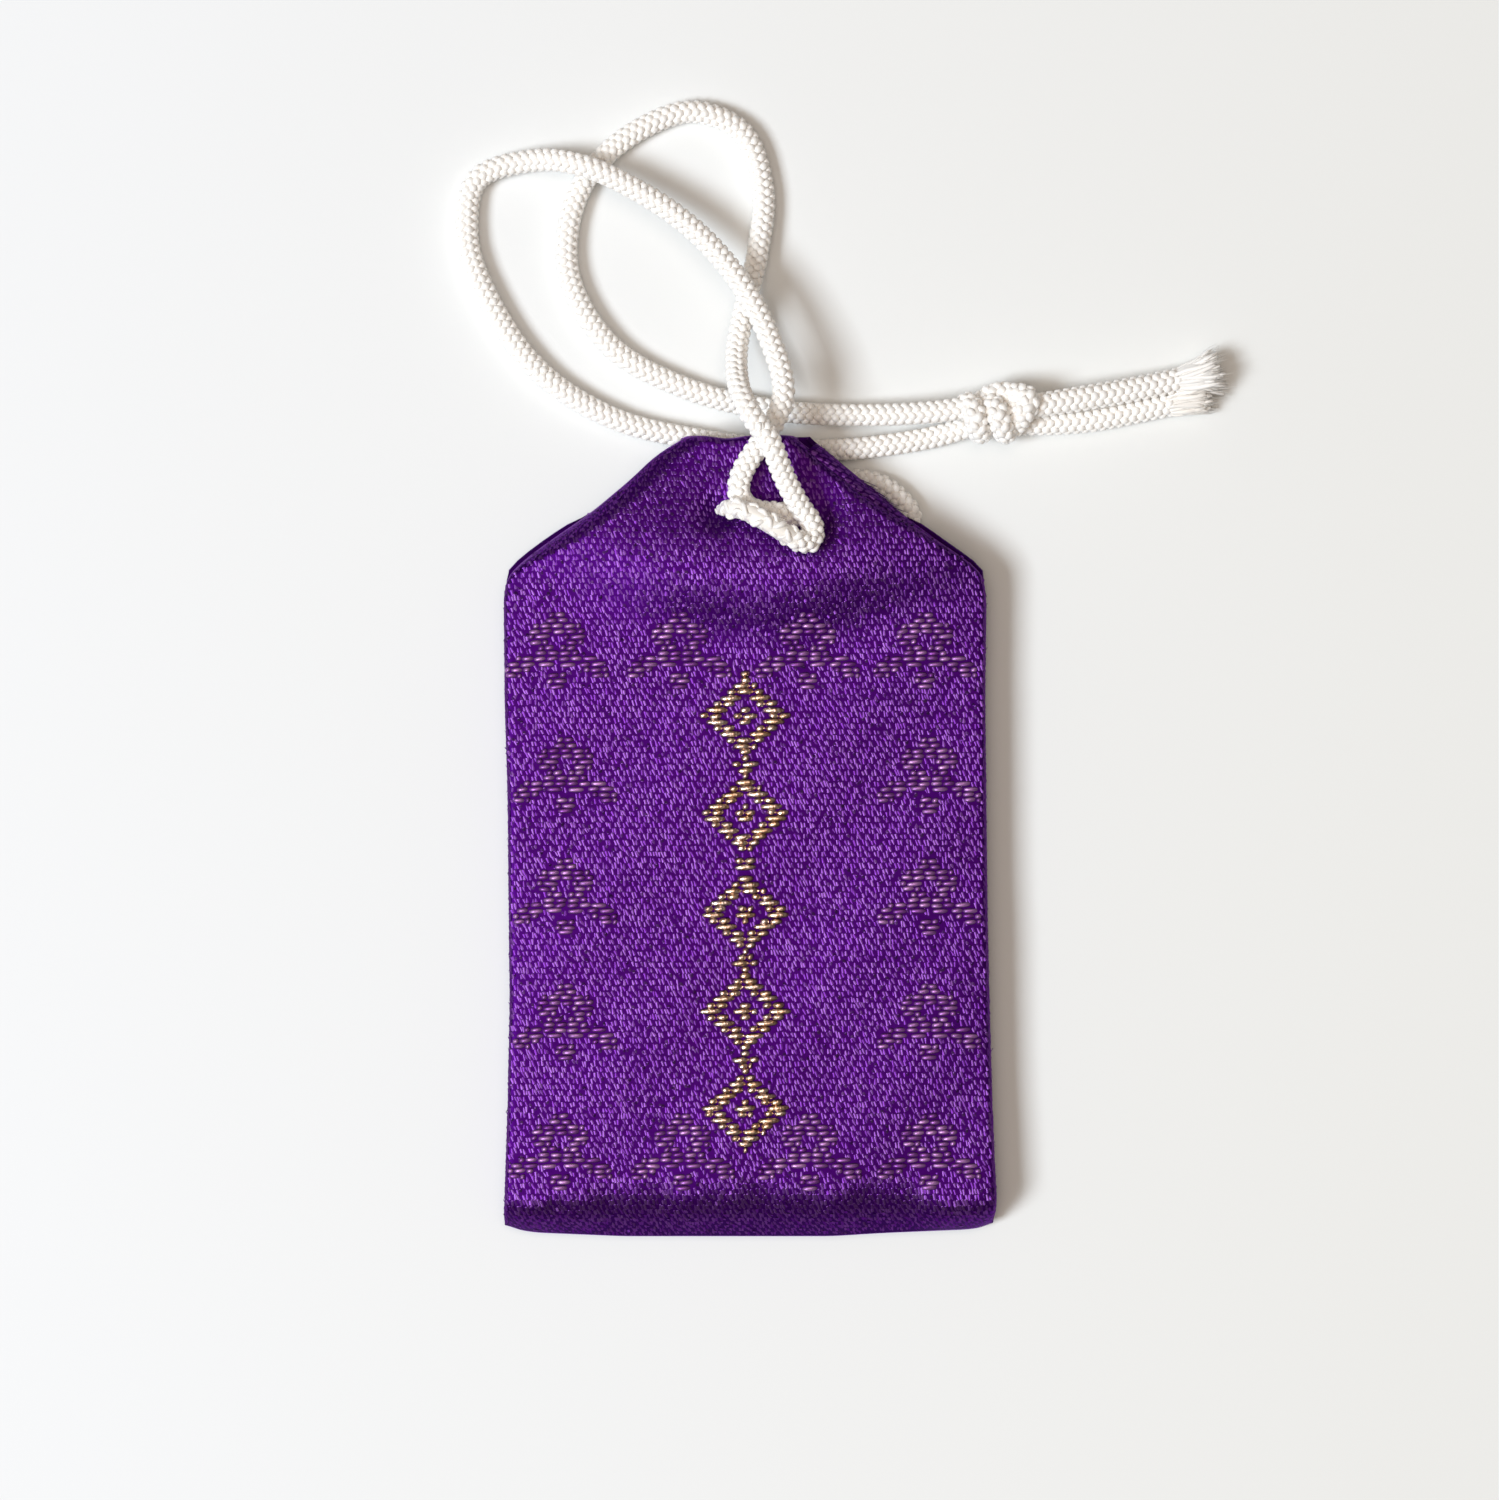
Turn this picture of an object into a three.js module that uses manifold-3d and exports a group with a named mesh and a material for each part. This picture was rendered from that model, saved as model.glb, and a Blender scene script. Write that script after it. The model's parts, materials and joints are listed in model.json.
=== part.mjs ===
// A drawstring prayer pouch: two brocade panels sewn round a paper packet, shoulders tucked in at
// the top, and one braided cord that passes through two eyelets, is half-knotted on the front and
// runs out into a pair of loops that end in a stopper knot with two frayed tails.
// Millimetres. The pouch lies on its back: +X is its right, +Y is its mouth, +Z is its front.

import * as THREE from "three";
import { mergeVertices } from "three/addons/utils/BufferGeometryUtils.js";
import Module from "manifold-3d";

const wasm = await Module();
wasm.setup();

// Pouch
const pouchWidth = 46;
const pouchLength = 76;
const clothThickness = 0.5;
const seamHeight = 2.4;
const seamGap = 0.3;
const sideRound = 4;
const bottomRound = 5;
const bottomCorner = 1.6;
const bottomBow = 1.4;
const bowLength = 16;
const mouthWidth = 11.2;
const mouthCorner = 1.2;
const mouthFullness = 0.7;
const shoulderDrop = 13.6;
const shoulderRound = 4;
const liftLength = 9;

// Folded tucks at the shoulders
const tuckDepthAtMouth = 3.2;
const tuckDepthAtShoulder = 1.6;
const tuckClearance = 0.3;
const tuckStart = 1.4;
const tuckRunIn = 3;
const tuckMouthInset = 1.3;

// What the pouch holds
const layerClearance = 0.3;
const liningThickness = 0.3;
const cardThickness = 0.8;
const cardMargin = 0.8;
const cardCorner = 2;
const wrapperWidth = 32;
const packetPlay = 3;
const paperThickness = 0.25;
const slipThickness = 0.5;
const slipMargin = 3.2;
const slipEndMargin = 0.8;
const slipPeak = 4;

// Cord
const cordDiameter = 2.3;
const cordClearance = 0.3;
const tableClearance = 0.05;
const cordSides = 8;
const cordStep = 5.5;
const heldStep = 1;
const eyeletSpacing = 7.8;
const eyeletOffset = 0.3;
const eyeletDrop = 8.4;
const knotX = 23.7;
const knotY = 2.3;
const knotLength = 7.6;
const knotLean = 0.2;
const knotWrapRadius = 1.75;
const knotTilt = 0.42;
const tuftLength = 4.8;
const tuftFlare = 0.32;

// Worked out from the sizes above
const halfLength = pouchLength / 2;
const halfWidth = pouchWidth / 2;
const mouthY = halfLength;
const shoulderY = mouthY - shoulderDrop;
const liftEnd = shoulderY + 2;
const liftStart = liftEnd - liftLength;
const wrapperThickness = slipThickness + 2 * paperThickness + 2 * layerClearance;
const pouchThickness =
  2 * clothThickness + 2 * liningThickness + cardThickness + wrapperThickness + 5 * layerClearance;
const tuckStack = 2 * clothThickness + 3 * tuckClearance;
const cordRadius = cordDiameter / 2;
const floorHeight = cordRadius + tableClearance;
const cordLayer = cordDiameter + cordClearance;
const mouthBack = tableClearance + cordLayer;
const mouthFront = mouthBack + 2 * clothThickness + tuckStack + mouthFullness;
const mouthMiddle = (mouthBack + mouthFront) / 2;
const legHeight = mouthFront + cordClearance + cordRadius;
const eyeletY = mouthY - eyeletDrop;
const eyeletLeftX = eyeletOffset - eyeletSpacing / 2;
const eyeletRightX = eyeletOffset + eyeletSpacing / 2;

const brocade = new THREE.MeshStandardMaterial({ color: 0x4a1a86, roughness: 0.5, metalness: 0 });
const whiteCord = new THREE.MeshStandardMaterial({ color: 0xf1eee8, roughness: 0.55, metalness: 0 });
const liningCloth = new THREE.MeshStandardMaterial({ color: 0xe9e4da, roughness: 0.9, metalness: 0 });
const greyCard = new THREE.MeshStandardMaterial({ color: 0xb9b1a3, roughness: 0.9, metalness: 0 });
const whitePaper = new THREE.MeshStandardMaterial({ color: 0xf4f1ea, roughness: 0.85, metalness: 0 });
const paleWood = new THREE.MeshStandardMaterial({ color: 0xd9b988, roughness: 0.7, metalness: 0 });

const pouch = new THREE.Group();
const cordLoop = new THREE.Group();
const packet = new THREE.Group();
const charm = new THREE.Group();
charm.add(pouch, packet, cordLoop);

function addPiece(group, name, geometry, material) {
  const mesh = new THREE.Mesh(geometry, material);
  mesh.name = name;
  group.add(mesh);
  return mesh;
}

// Shape helpers

function smoothStep(low, high, value) {
  const t = THREE.MathUtils.clamp((value - low) / (high - low), 0, 1);
  return t * t * (3 - 2 * t);
}

function roundedMinimum(a, b, round) {
  const t = THREE.MathUtils.clamp(0.5 + (0.5 * (b - a)) / round, 0, 1);
  return THREE.MathUtils.lerp(b, a, t) - round * t * (1 - t);
}

function bufferFrom(points, triangles) {
  const geometry = new THREE.BufferGeometry();
  geometry.setAttribute("position", new THREE.Float32BufferAttribute(points.flatMap((p) => p.toArray()), 3));
  geometry.setIndex(triangles.flat());
  return geometry;
}

function toSolid(geometry) {
  const bare = geometry.clone();
  bare.deleteAttribute("normal");
  bare.deleteAttribute("uv");
  const merged = mergeVertices(bare, 1e-4);
  const mesh = new wasm.Mesh({
    numProp: 3,
    vertProperties: new Float32Array(merged.attributes.position.array),
    triVerts: new Uint32Array(merged.index.array),
  });
  return new wasm.Manifold(mesh);
}

function fromSolid(solid) {
  const mesh = solid.getMesh();
  const geometry = new THREE.BufferGeometry();
  geometry.setAttribute("position", new THREE.BufferAttribute(mesh.vertProperties, 3));
  geometry.setIndex(new THREE.BufferAttribute(mesh.triVerts, 1));
  return geometry;
}

function placed(geometry, x, y, z, turnX = 0, turnY = 0, turnZ = 0) {
  const turn = new THREE.Euler(turnX, turnY, turnZ);
  const place = new THREE.Matrix4().makeRotationFromEuler(turn).setPosition(x, y, z);
  return geometry.applyMatrix4(place);
}

// Two grids of points, face and lining of one sheet, joined round their borders into a closed shell.
function closedShell(outer, inner, facesDown) {
  const rows = outer.length;
  const columns = outer[0].length;
  const points = [...outer.flat(), ...inner.flat()];
  const innerStart = rows * columns;
  const triangles = [];
  const addQuad = (a, b, c, d) => {
    if (facesDown) triangles.push([a, c, b], [a, d, c]);
    else triangles.push([a, b, c], [a, c, d]);
  };
  for (let row = 0; row + 1 < rows; row++) {
    for (let column = 0; column + 1 < columns; column++) {
      const a = row * columns + column;
      const b = a + 1;
      const c = b + columns;
      const d = a + columns;
      addQuad(a, b, c, d);
      addQuad(innerStart + a, innerStart + d, innerStart + c, innerStart + b);
    }
  }
  const border = [];
  for (let column = 0; column < columns; column++) border.push(column);
  for (let row = 1; row < rows; row++) border.push(row * columns + columns - 1);
  for (let column = columns - 2; column >= 0; column--) border.push((rows - 1) * columns + column);
  for (let row = rows - 2; row >= 1; row--) border.push(row * columns);
  border.forEach((here, i) => {
    const next = border[(i + 1) % border.length];
    addQuad(next, here, innerStart + here, innerStart + next);
  });
  return bufferFrom(points, triangles);
}

// Rings of matching points joined into a tube, with both ends closed. The rings lie in X-Z planes.
function closedLoft(rings) {
  const count = rings[0].length;
  const triangles = [];
  for (let ring = 0; ring + 1 < rings.length; ring++) {
    for (let i = 0; i < count; i++) {
      const a = ring * count + i;
      const b = ring * count + ((i + 1) % count);
      triangles.push([a, b, b + count], [a, b + count, a + count]);
    }
  }
  const caps = [
    [rings[0], 0, false],
    [rings[rings.length - 1], (rings.length - 1) * count, true],
  ];
  for (const [ring, start, flip] of caps) {
    const flat = ring.map((p) => new THREE.Vector2(p.x, p.z));
    for (const [a, b, c] of THREE.ShapeUtils.triangulateShape(flat, [])) {
      triangles.push(flip ? [start + c, start + b, start + a] : [start + a, start + b, start + c]);
    }
  }
  return bufferFrom(rings.flat(), triangles);
}

// The pouch's form along its length

function slopeHalfWidth(y) {
  return mouthWidth / 2 + ((mouthY - y) * (halfWidth - mouthWidth / 2)) / shoulderDrop;
}

// How far a rounded corner takes the edge in, at a distance past the start of its curve.
function cornerCut(past, radius) {
  const share = THREE.MathUtils.clamp(past / radius, 0, 1);
  return radius * (1 - Math.sqrt(1 - share * share));
}

function outlineHalfWidth(y) {
  const atMouth = cornerCut(y - (mouthY - mouthCorner), mouthCorner);
  const atBottom = cornerCut(-halfLength + bottomCorner - y, bottomCorner);
  return roundedMinimum(halfWidth, slopeHalfWidth(y), shoulderRound) - atMouth - atBottom;
}

// The bottom edge hangs lower in the middle than at its corners.
function bowAt(y, across) {
  return bottomBow * across * across * (1 - smoothStep(-halfLength, -halfLength + bowLength, y));
}

// 0 on the body, 1 where the gathered top is held up by the cord behind it.
function topLift(y) {
  return smoothStep(liftStart, liftEnd, y);
}

function seamAt(y) {
  return THREE.MathUtils.lerp(seamHeight, mouthMiddle, topLift(y));
}

function edgeGapAt(y) {
  const fullyOpen = shoulderY + tuckStart - tuckClearance;
  const opening = smoothStep(fullyOpen - tuckRunIn, fullyOpen, y);
  return THREE.MathUtils.lerp(seamGap, tuckStack, opening);
}

function faceHeight(y, isFront) {
  if (isFront) return THREE.MathUtils.lerp(pouchThickness, mouthFront, topLift(y));
  return THREE.MathUtils.lerp(0, mouthBack, topLift(y));
}

const panelRows = { bottom: 6, body: 3, lift: 7, slope: 7, corner: 3 };
const panelArcColumns = 5;
const panelFlatColumns = 6;

function panelStations(inset) {
  const stations = [];
  const start = -halfLength + inset;
  const radius = bottomRound - inset;
  for (let i = 0; i <= panelRows.bottom; i++) {
    const angle = (Math.PI / 2) * (i / panelRows.bottom);
    stations.push({ y: start + radius * (1 - Math.cos(angle)), roll: Math.sin(angle) });
  }
  const stops = [
    [-halfLength + bottomRound, liftStart, panelRows.body],
    [liftStart, liftEnd, panelRows.lift],
    [liftEnd, mouthY - mouthCorner, panelRows.slope],
    [mouthY - mouthCorner, mouthY, panelRows.corner],
  ];
  for (const [from, to, count] of stops) {
    for (let i = 1; i <= count; i++) stations.push({ y: from + ((to - from) * i) / count, roll: 1 });
  }
  return stations;
}

// Places across a panel, from -1 to 1, with the share of the full height that each has.
function panelProfile(half) {
  const round = Math.min(sideRound, half * 0.6);
  const flatEnd = 1 - round / half;
  const profile = [];
  for (let i = 0; i <= panelArcColumns; i++) {
    const angle = (Math.PI / 2) * (i / panelArcColumns);
    profile.push({ across: -1 + (1 - flatEnd) * (1 - Math.cos(angle)), share: Math.sin(angle) });
  }
  for (let i = 1; i < panelFlatColumns; i++) {
    profile.push({ across: -flatEnd + (2 * flatEnd * i) / panelFlatColumns, share: 1 });
  }
  for (let i = panelArcColumns; i >= 0; i--) {
    profile.push({ across: -profile[i].across, share: profile[i].share });
  }
  return profile;
}

function panelGrid(isFront, inset) {
  return panelStations(inset).map(({ y, roll }) => {
    const half = outlineHalfWidth(y) - inset;
    const side = isFront ? 1 : -1;
    const edge = seamAt(y) + (side * edgeGapAt(y)) / 2;
    const height = faceHeight(y, isFront) - side * inset;
    return panelProfile(half).map(
      ({ across, share }) =>
        new THREE.Vector3(half * across, y + bowAt(y, across), edge + (height - edge) * roll * share),
    );
  });
}

function eyeletDrill(x) {
  const drill = new THREE.CylinderGeometry(cordRadius + cordClearance, cordRadius + cordClearance, 40, 16);
  return toSolid(placed(drill, x, eyeletY, 0, Math.PI / 2));
}

function brocadePanel(isFront) {
  const shell = closedShell(panelGrid(isFront, 0), panelGrid(isFront, clothThickness), !isFront);
  const drilled = toSolid(shell).subtract(eyeletDrill(eyeletLeftX)).subtract(eyeletDrill(eyeletRightX));
  return fromSolid(drilled);
}

// A tuck is the cloth of one shoulder folded inwards on itself, open at the slope.
function shoulderTuck(side) {
  const from = shoulderY + tuckStart;
  const to = mouthY - tuckMouthInset;
  const count = 8;
  const rings = [];
  for (let i = 0; i <= count; i++) {
    const t = i / count;
    const y = from + (to - from) * t;
    const outX = outlineHalfWidth(y) - tuckClearance;
    const inX = outX - THREE.MathUtils.lerp(tuckDepthAtShoulder, tuckDepthAtMouth, t);
    const middle = seamAt(y);
    const inside = tuckClearance / 2;
    const outside = inside + clothThickness;
    const section = [
      [outX, outside],
      [inX, outside],
      [inX, -outside],
      [outX, -outside],
      [outX, -inside],
      [inX + clothThickness, -inside],
      [inX + clothThickness, inside],
      [outX, inside],
    ];
    const ring = section.map(([x, z]) => new THREE.Vector3(side * x, y, middle + z));
    rings.push(side > 0 ? ring.reverse() : ring);
  }
  return closedLoft(rings);
}

addPiece(pouch, "front_panel", brocadePanel(true), brocade);
addPiece(pouch, "back_panel", brocadePanel(false), brocade);
addPiece(pouch, "left_shoulder_tuck", shoulderTuck(-1), brocade);
addPiece(pouch, "right_shoulder_tuck", shoulderTuck(1), brocade);

// What the pouch holds, from its back to its front

const contentHalfWidth = halfWidth - sideRound;
const contentStart = -halfLength + bottomRound;
const contentEnd = liftStart;
const liningBack = clothThickness + layerClearance;
const liningFront = pouchThickness - clothThickness - layerClearance;
const cardBack = liningBack + liningThickness + layerClearance;
const wrapperBack = cardBack + cardThickness + layerClearance;

// A strip folded in half at the bottom: its section stands in the Y-Z plane.
function liningStrip() {
  const outerRadius = (liningFront - liningBack) / 2;
  const innerRadius = outerRadius - liningThickness;
  const middle = (liningFront + liningBack) / 2;
  const section = new THREE.Shape();
  section.moveTo(contentEnd, liningFront);
  section.lineTo(contentStart, liningFront);
  section.absarc(contentStart, middle, outerRadius, Math.PI / 2, (3 * Math.PI) / 2, false);
  section.lineTo(contentEnd, liningBack);
  section.lineTo(contentEnd, liningBack + liningThickness);
  section.lineTo(contentStart, liningBack + liningThickness);
  section.absarc(contentStart, middle, innerRadius, (3 * Math.PI) / 2, Math.PI / 2, true);
  section.lineTo(contentEnd, liningFront - liningThickness);
  const strip = new THREE.ExtrudeGeometry(section, {
    depth: 2 * contentHalfWidth,
    bevelEnabled: false,
    curveSegments: 8,
  });
  const alongX = new THREE.Matrix4().makeBasis(
    new THREE.Vector3(0, 1, 0),
    new THREE.Vector3(0, 0, 1),
    new THREE.Vector3(1, 0, 0),
  );
  return strip.applyMatrix4(alongX).translate(-contentHalfWidth, 0, 0);
}

function cardBoard() {
  const half = contentHalfWidth - cardMargin;
  const start = contentStart;
  const end = contentEnd - cardMargin;
  const outline = new THREE.Shape();
  outline.moveTo(-half + cardCorner, start);
  outline.lineTo(half - cardCorner, start);
  outline.absarc(half - cardCorner, start + cardCorner, cardCorner, -Math.PI / 2, 0, false);
  outline.lineTo(half, end - cardCorner);
  outline.absarc(half - cardCorner, end - cardCorner, cardCorner, 0, Math.PI / 2, false);
  outline.lineTo(-half + cardCorner, end);
  outline.absarc(-half + cardCorner, end - cardCorner, cardCorner, Math.PI / 2, Math.PI, false);
  outline.lineTo(-half, start + cardCorner);
  outline.absarc(-half + cardCorner, start + cardCorner, cardCorner, Math.PI, 1.5 * Math.PI, false);
  const board = new THREE.ExtrudeGeometry(outline, {
    depth: cardThickness,
    bevelEnabled: false,
    curveSegments: 6,
  });
  return board.translate(0, 0, cardBack);
}

// The packet: a paper sleeve round a thin wooden slip with a peaked head.
const packetStart = contentStart + cardMargin;
const wrapperLength = contentEnd - packetStart - packetPlay;

function paperSleeve() {
  const half = wrapperWidth / 2;
  const section = new THREE.Shape();
  section.moveTo(-half, 0);
  section.lineTo(half, 0);
  section.lineTo(half, wrapperThickness);
  section.lineTo(-half, wrapperThickness);
  const hollow = new THREE.Path();
  hollow.moveTo(-half + paperThickness, paperThickness);
  hollow.lineTo(-half + paperThickness, wrapperThickness - paperThickness);
  hollow.lineTo(half - paperThickness, wrapperThickness - paperThickness);
  hollow.lineTo(half - paperThickness, paperThickness);
  section.holes.push(hollow);
  const sleeve = new THREE.ExtrudeGeometry(section, { depth: wrapperLength, bevelEnabled: false });
  return placed(sleeve, 0, packetStart + wrapperLength, wrapperBack, Math.PI / 2);
}

function woodenSlip() {
  const half = wrapperWidth / 2 - paperThickness - slipMargin;
  const start = packetStart + slipEndMargin;
  const end = packetStart + wrapperLength - slipEndMargin;
  const outline = new THREE.Shape();
  outline.moveTo(-half, start);
  outline.lineTo(half, start);
  outline.lineTo(half, end - slipPeak);
  outline.lineTo(0, end);
  outline.lineTo(-half, end - slipPeak);
  const slip = new THREE.ExtrudeGeometry(outline, { depth: slipThickness, bevelEnabled: false });
  return slip.translate(0, 0, wrapperBack + paperThickness + layerClearance);
}

addPiece(pouch, "lining", liningStrip(), liningCloth);
addPiece(pouch, "card_stiffener", cardBoard(), greyCard);
addPiece(packet, "paper_wrapper", paperSleeve(), whitePaper);
addPiece(packet, "wooden_slip", woodenSlip(), paleWood);

// Cord. A route's points are [x, y from the mouth, height], and heights on the table side are
// given in layers of cord: 0 lies on the table, 1 lies on another cord.

const mouthLayers = (legHeight - floorHeight) / cordLayer;

function layered(points) {
  return points.map(([x, y, layer]) => new THREE.Vector3(x, mouthY + y, floorHeight + layer * cordLayer));
}

function atHeights(points) {
  return points.map(([x, y, z]) => new THREE.Vector3(x, mouthY + y, z));
}

function cordTube(points, step) {
  const path = new THREE.CatmullRomCurve3(points, false, "centripetal");
  const section = new THREE.Shape();
  for (let i = 0; i < cordSides; i++) {
    const angle = (2 * Math.PI * (i + 0.5)) / cordSides;
    const corner = [cordRadius * Math.cos(angle), cordRadius * Math.sin(angle)];
    if (i === 0) section.moveTo(...corner);
    else section.lineTo(...corner);
  }
  const steps = Math.max(2, Math.ceil(path.getLength() / step));
  return new THREE.ExtrudeGeometry(section, { steps, extrudePath: path, bevelEnabled: false });
}

// The left strand rises through the right eyelet, turns left along the cloth and goes up to the mouth.
const throughHeight = mouthMiddle;
const overHeight = legHeight + cordLayer;
const leftLegRoute = atHeights([
  [eyeletRightX, -eyeletDrop, throughHeight],
  [eyeletRightX, -eyeletDrop, mouthFront - 0.4],
  [eyeletRightX - 0.5, -eyeletDrop + 0.1, legHeight - 0.55],
  [eyeletRightX - 1.7, -eyeletDrop + 0.3, legHeight],
  [1.0, -7.6, legHeight],
  [-0.5, -6.9, legHeight],
  [-1.3, -5.7, legHeight],
  [-1.0, -4.0, legHeight],
  [0.1, -2.3, legHeight],
  [1.1, -1.0, legHeight],
]);

// The right strand rises through the left eyelet, crosses over the left one, turns and goes up over it.
const rightLegRoute = atHeights([
  [eyeletLeftX, -eyeletDrop, throughHeight],
  [eyeletLeftX, -eyeletDrop, overHeight - 2.1],
  [eyeletLeftX + 0.5, -eyeletDrop + 0.1, overHeight - 0.7],
  [eyeletLeftX + 1.8, -eyeletDrop + 0.4, overHeight],
  [0.0, -7.9, overHeight],
  [1.9, -8.6, overHeight],
  [4.0, -10.0, overHeight - 0.4],
  [5.6, -10.9, legHeight + 0.9],
  [7.0, -10.5, legHeight + 0.1],
  [7.1, -9.0, legHeight + 0.1],
  [6.0, -6.9, legHeight + 0.6],
  [4.2, -4.1, legHeight + 1.6],
  [2.4, -1.4, overHeight],
  [2.0, -0.8, overHeight],
]);

const leftBendRoute = layered([
  [1.3, -0.75, mouthLayers],
  [1.9, 0.2, mouthLayers],
  [2.8, 1.8, mouthLayers * 0.97],
  [3.3, 3.6, mouthLayers * 0.93],
  [3.1, 5.8, mouthLayers * 0.88],
  [2.5, 7.6, mouthLayers * 0.84],
]);

const rightBendRoute = layered([
  [1.82, -0.55, mouthLayers + 1],
  [0.9, 0.6, mouthLayers + 0.97],
  [0.0, 2.0, mouthLayers + 0.8],
  [-0.7, 3.6, mouthLayers + 0.4],
  [-1.1, 5.8, mouthLayers - 0.4],
  [-1.1, 7.6, mouthLayers - 0.9],
]);

// The outer loop runs over the inner one twice and comes back under the mouth to the stopper knot.
const knotEntryX = knotX - knotLength / 2 - 0.5;
const knotExitX = knotX + knotLength / 2 + 0.4;
const outerLoopRoute = layered([
  [2.4, 7.95, mouthLayers * 0.83],
  [0.2, 12.8, mouthLayers * 0.74],
  [-4.8, 19.1, mouthLayers * 0.57],
  [-11.4, 23.7, 1.18],
  [-15.4, 25.5, 1.12],
  [-20.9, 26.3, 0.28],
  [-25.9, 24.6, 0],
  [-26.8, 19.1, 0],
  [-24.5, 12.7, 0],
  [-19.8, 6.2, 0],
  [-13.0, 1.9, 0],
  [-4.6, -0.2, 0],
  [4.9, -1.2, 0],
  [12.5, -0.8, 0.05],
  [knotEntryX, 0.5, 0.14],
]);

// The inner loop drops to the table, goes round and passes under both strands to the stopper knot.
const innerLoopRoute = layered([
  [-1.1, 7.95, mouthLayers - 1],
  [-0.3, 12.4, 0.8],
  [0.9, 17.8, 0.2],
  [1.4, 23.5, 0],
  [-0.9, 29.4, 0],
  [-5.1, 31.1, 0],
  [-10.4, 29.4, 0],
  [-16.0, 23.8, 0],
  [-17.2, 15.9, 0],
  [-13.3, 8.9, 0],
  [-5.9, 4.7, 0],
  [2.1, 2.7, 0],
  [11.1, 2.1, 0.3],
  [knotEntryX, 2.5, 0.95],
]);

// Behind the pouch the cord runs from one eyelet to the other in a slack loop that shows past the right slope.
const turnUp = 1.6;
const backBightRoute = layered([
  [8.6, -9.9, 0],
  [12.4, -10.0, 0],
  [15.0, -9.0, 0],
  [15.5, -7.5, 0],
  [14.4, -5.9, 0],
  [12.9, -4.7, 0],
  [11.0, -4.1, 0],
  [8.2, -4.3, 0],
  [4.6, -4.7, 0],
  [1.0, -5.9, 0],
]);

function backBight() {
  const top = throughHeight - cordClearance;
  const right = new THREE.Vector3(eyeletRightX, eyeletY, 0);
  const left = new THREE.Vector3(eyeletLeftX, eyeletY, 0);
  return [
    right.clone().setZ(top),
    right.clone().setZ(floorHeight + turnUp),
    new THREE.Vector3(right.x + 0.6, right.y - 0.2, floorHeight + 0.45),
    new THREE.Vector3(right.x + turnUp + 0.2, right.y - 0.7, floorHeight),
    ...backBightRoute,
    new THREE.Vector3(left.x + turnUp + 0.2, left.y + 0.8, floorHeight),
    new THREE.Vector3(left.x + 0.6, left.y + 0.3, floorHeight + 0.45),
    left.clone().setZ(floorHeight + turnUp),
    left.clone().setZ(top),
  ];
}

const upperTailRoute = layered([
  [knotExitX + 0.2, 3.4, 0.85],
  [32.8, 4.2, 0.6],
  [36.7, 4.8, 0.42],
  [40.9, 5.8, 0.3],
]);

const lowerTailRoute = layered([
  [knotExitX - 0.1, 1.3, 0.1],
  [32.9, 1.3, 0.06],
  [36.8, 2.0, 0.04],
  [40.4, 2.6, 0.04],
]);

// The stopper: a core with three slanting turns of cord drawn tight round it.
function stopperKnot() {
  const centre = new THREE.Vector3(knotX, mouthY + knotY, knotWrapRadius + cordRadius + tableClearance);
  const coreRadius = knotWrapRadius + 0.35;
  const half = knotLength / 2;
  const profile = new THREE.Path();
  profile.moveTo(0, -half);
  profile.bezierCurveTo(coreRadius * 1.1, -half, coreRadius, -half * 0.6, coreRadius, 0);
  profile.bezierCurveTo(coreRadius, half * 0.6, coreRadius * 1.1, half, 0, half);
  const core = new THREE.LatheGeometry(profile.getPoints(6), 14);
  let knot = toSolid(placed(core, 0, 0, 0, 0, 0, -Math.PI / 2));
  const turns = [
    { along: -0.26, tilt: knotTilt, lift: 0 },
    { along: 0.02, tilt: knotTilt, lift: 0 },
    { along: 0.28, tilt: -knotTilt, lift: 0.35 },
  ];
  for (const { along, tilt, lift } of turns) {
    const ring = new THREE.TorusGeometry(knotWrapRadius, cordRadius, 8, 18);
    knot = knot.add(toSolid(placed(ring, along * knotLength, lift, 0, 0, Math.PI / 2 + tilt, 0)));
  }
  return placed(fromSolid(knot), centre.x, centre.y, centre.z, 0, 0, knotLean);
}

// A frayed end flares out of the tail and finishes in a ragged crown.
function frayedTuft(tail) {
  const path = new THREE.CatmullRomCurve3(tail, false, "centripetal");
  const along = path.getTangent(1);
  const start = path.getPoint(1).addScaledVector(along, cordClearance);
  const flare = cordRadius + tuftFlare;
  const profile = [
    [0, 0],
    [cordRadius, 0],
    [cordRadius * 0.96, tuftLength * 0.3],
    [flare, tuftLength * 0.75],
    [flare * 0.9, tuftLength],
    [flare * 0.45, tuftLength * 0.86],
    [0, tuftLength * 0.94],
  ].map(([radius, height]) => new THREE.Vector2(radius, height));
  const tuft = new THREE.LatheGeometry(profile, 12);
  const turn = new THREE.Quaternion().setFromUnitVectors(new THREE.Vector3(0, 1, 0), along.setZ(0.06).normalize());
  return tuft.applyQuaternion(turn).translate(start.x, start.y, start.z);
}

addPiece(pouch, "cord_left_leg", cordTube(leftLegRoute, heldStep), whiteCord);
addPiece(pouch, "cord_right_leg", cordTube(rightLegRoute, heldStep), whiteCord);
addPiece(pouch, "cord_back_bight", cordTube(backBight(), heldStep), whiteCord);
addPiece(pouch, "cord_left_bend", cordTube(leftBendRoute, cordDiameter), whiteCord);
addPiece(pouch, "cord_right_bend", cordTube(rightBendRoute, cordDiameter), whiteCord);
addPiece(cordLoop, "loop_outer", cordTube(outerLoopRoute, cordStep), whiteCord);
addPiece(cordLoop, "loop_inner", cordTube(innerLoopRoute, cordStep), whiteCord);
addPiece(cordLoop, "stopper_knot", stopperKnot(), whiteCord);
addPiece(cordLoop, "tail_upper", cordTube(upperTailRoute, cordStep), whiteCord);
addPiece(cordLoop, "tail_lower", cordTube(lowerTailRoute, cordStep), whiteCord);
addPiece(cordLoop, "tuft_upper", frayedTuft(upperTailRoute), whiteCord);
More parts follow.
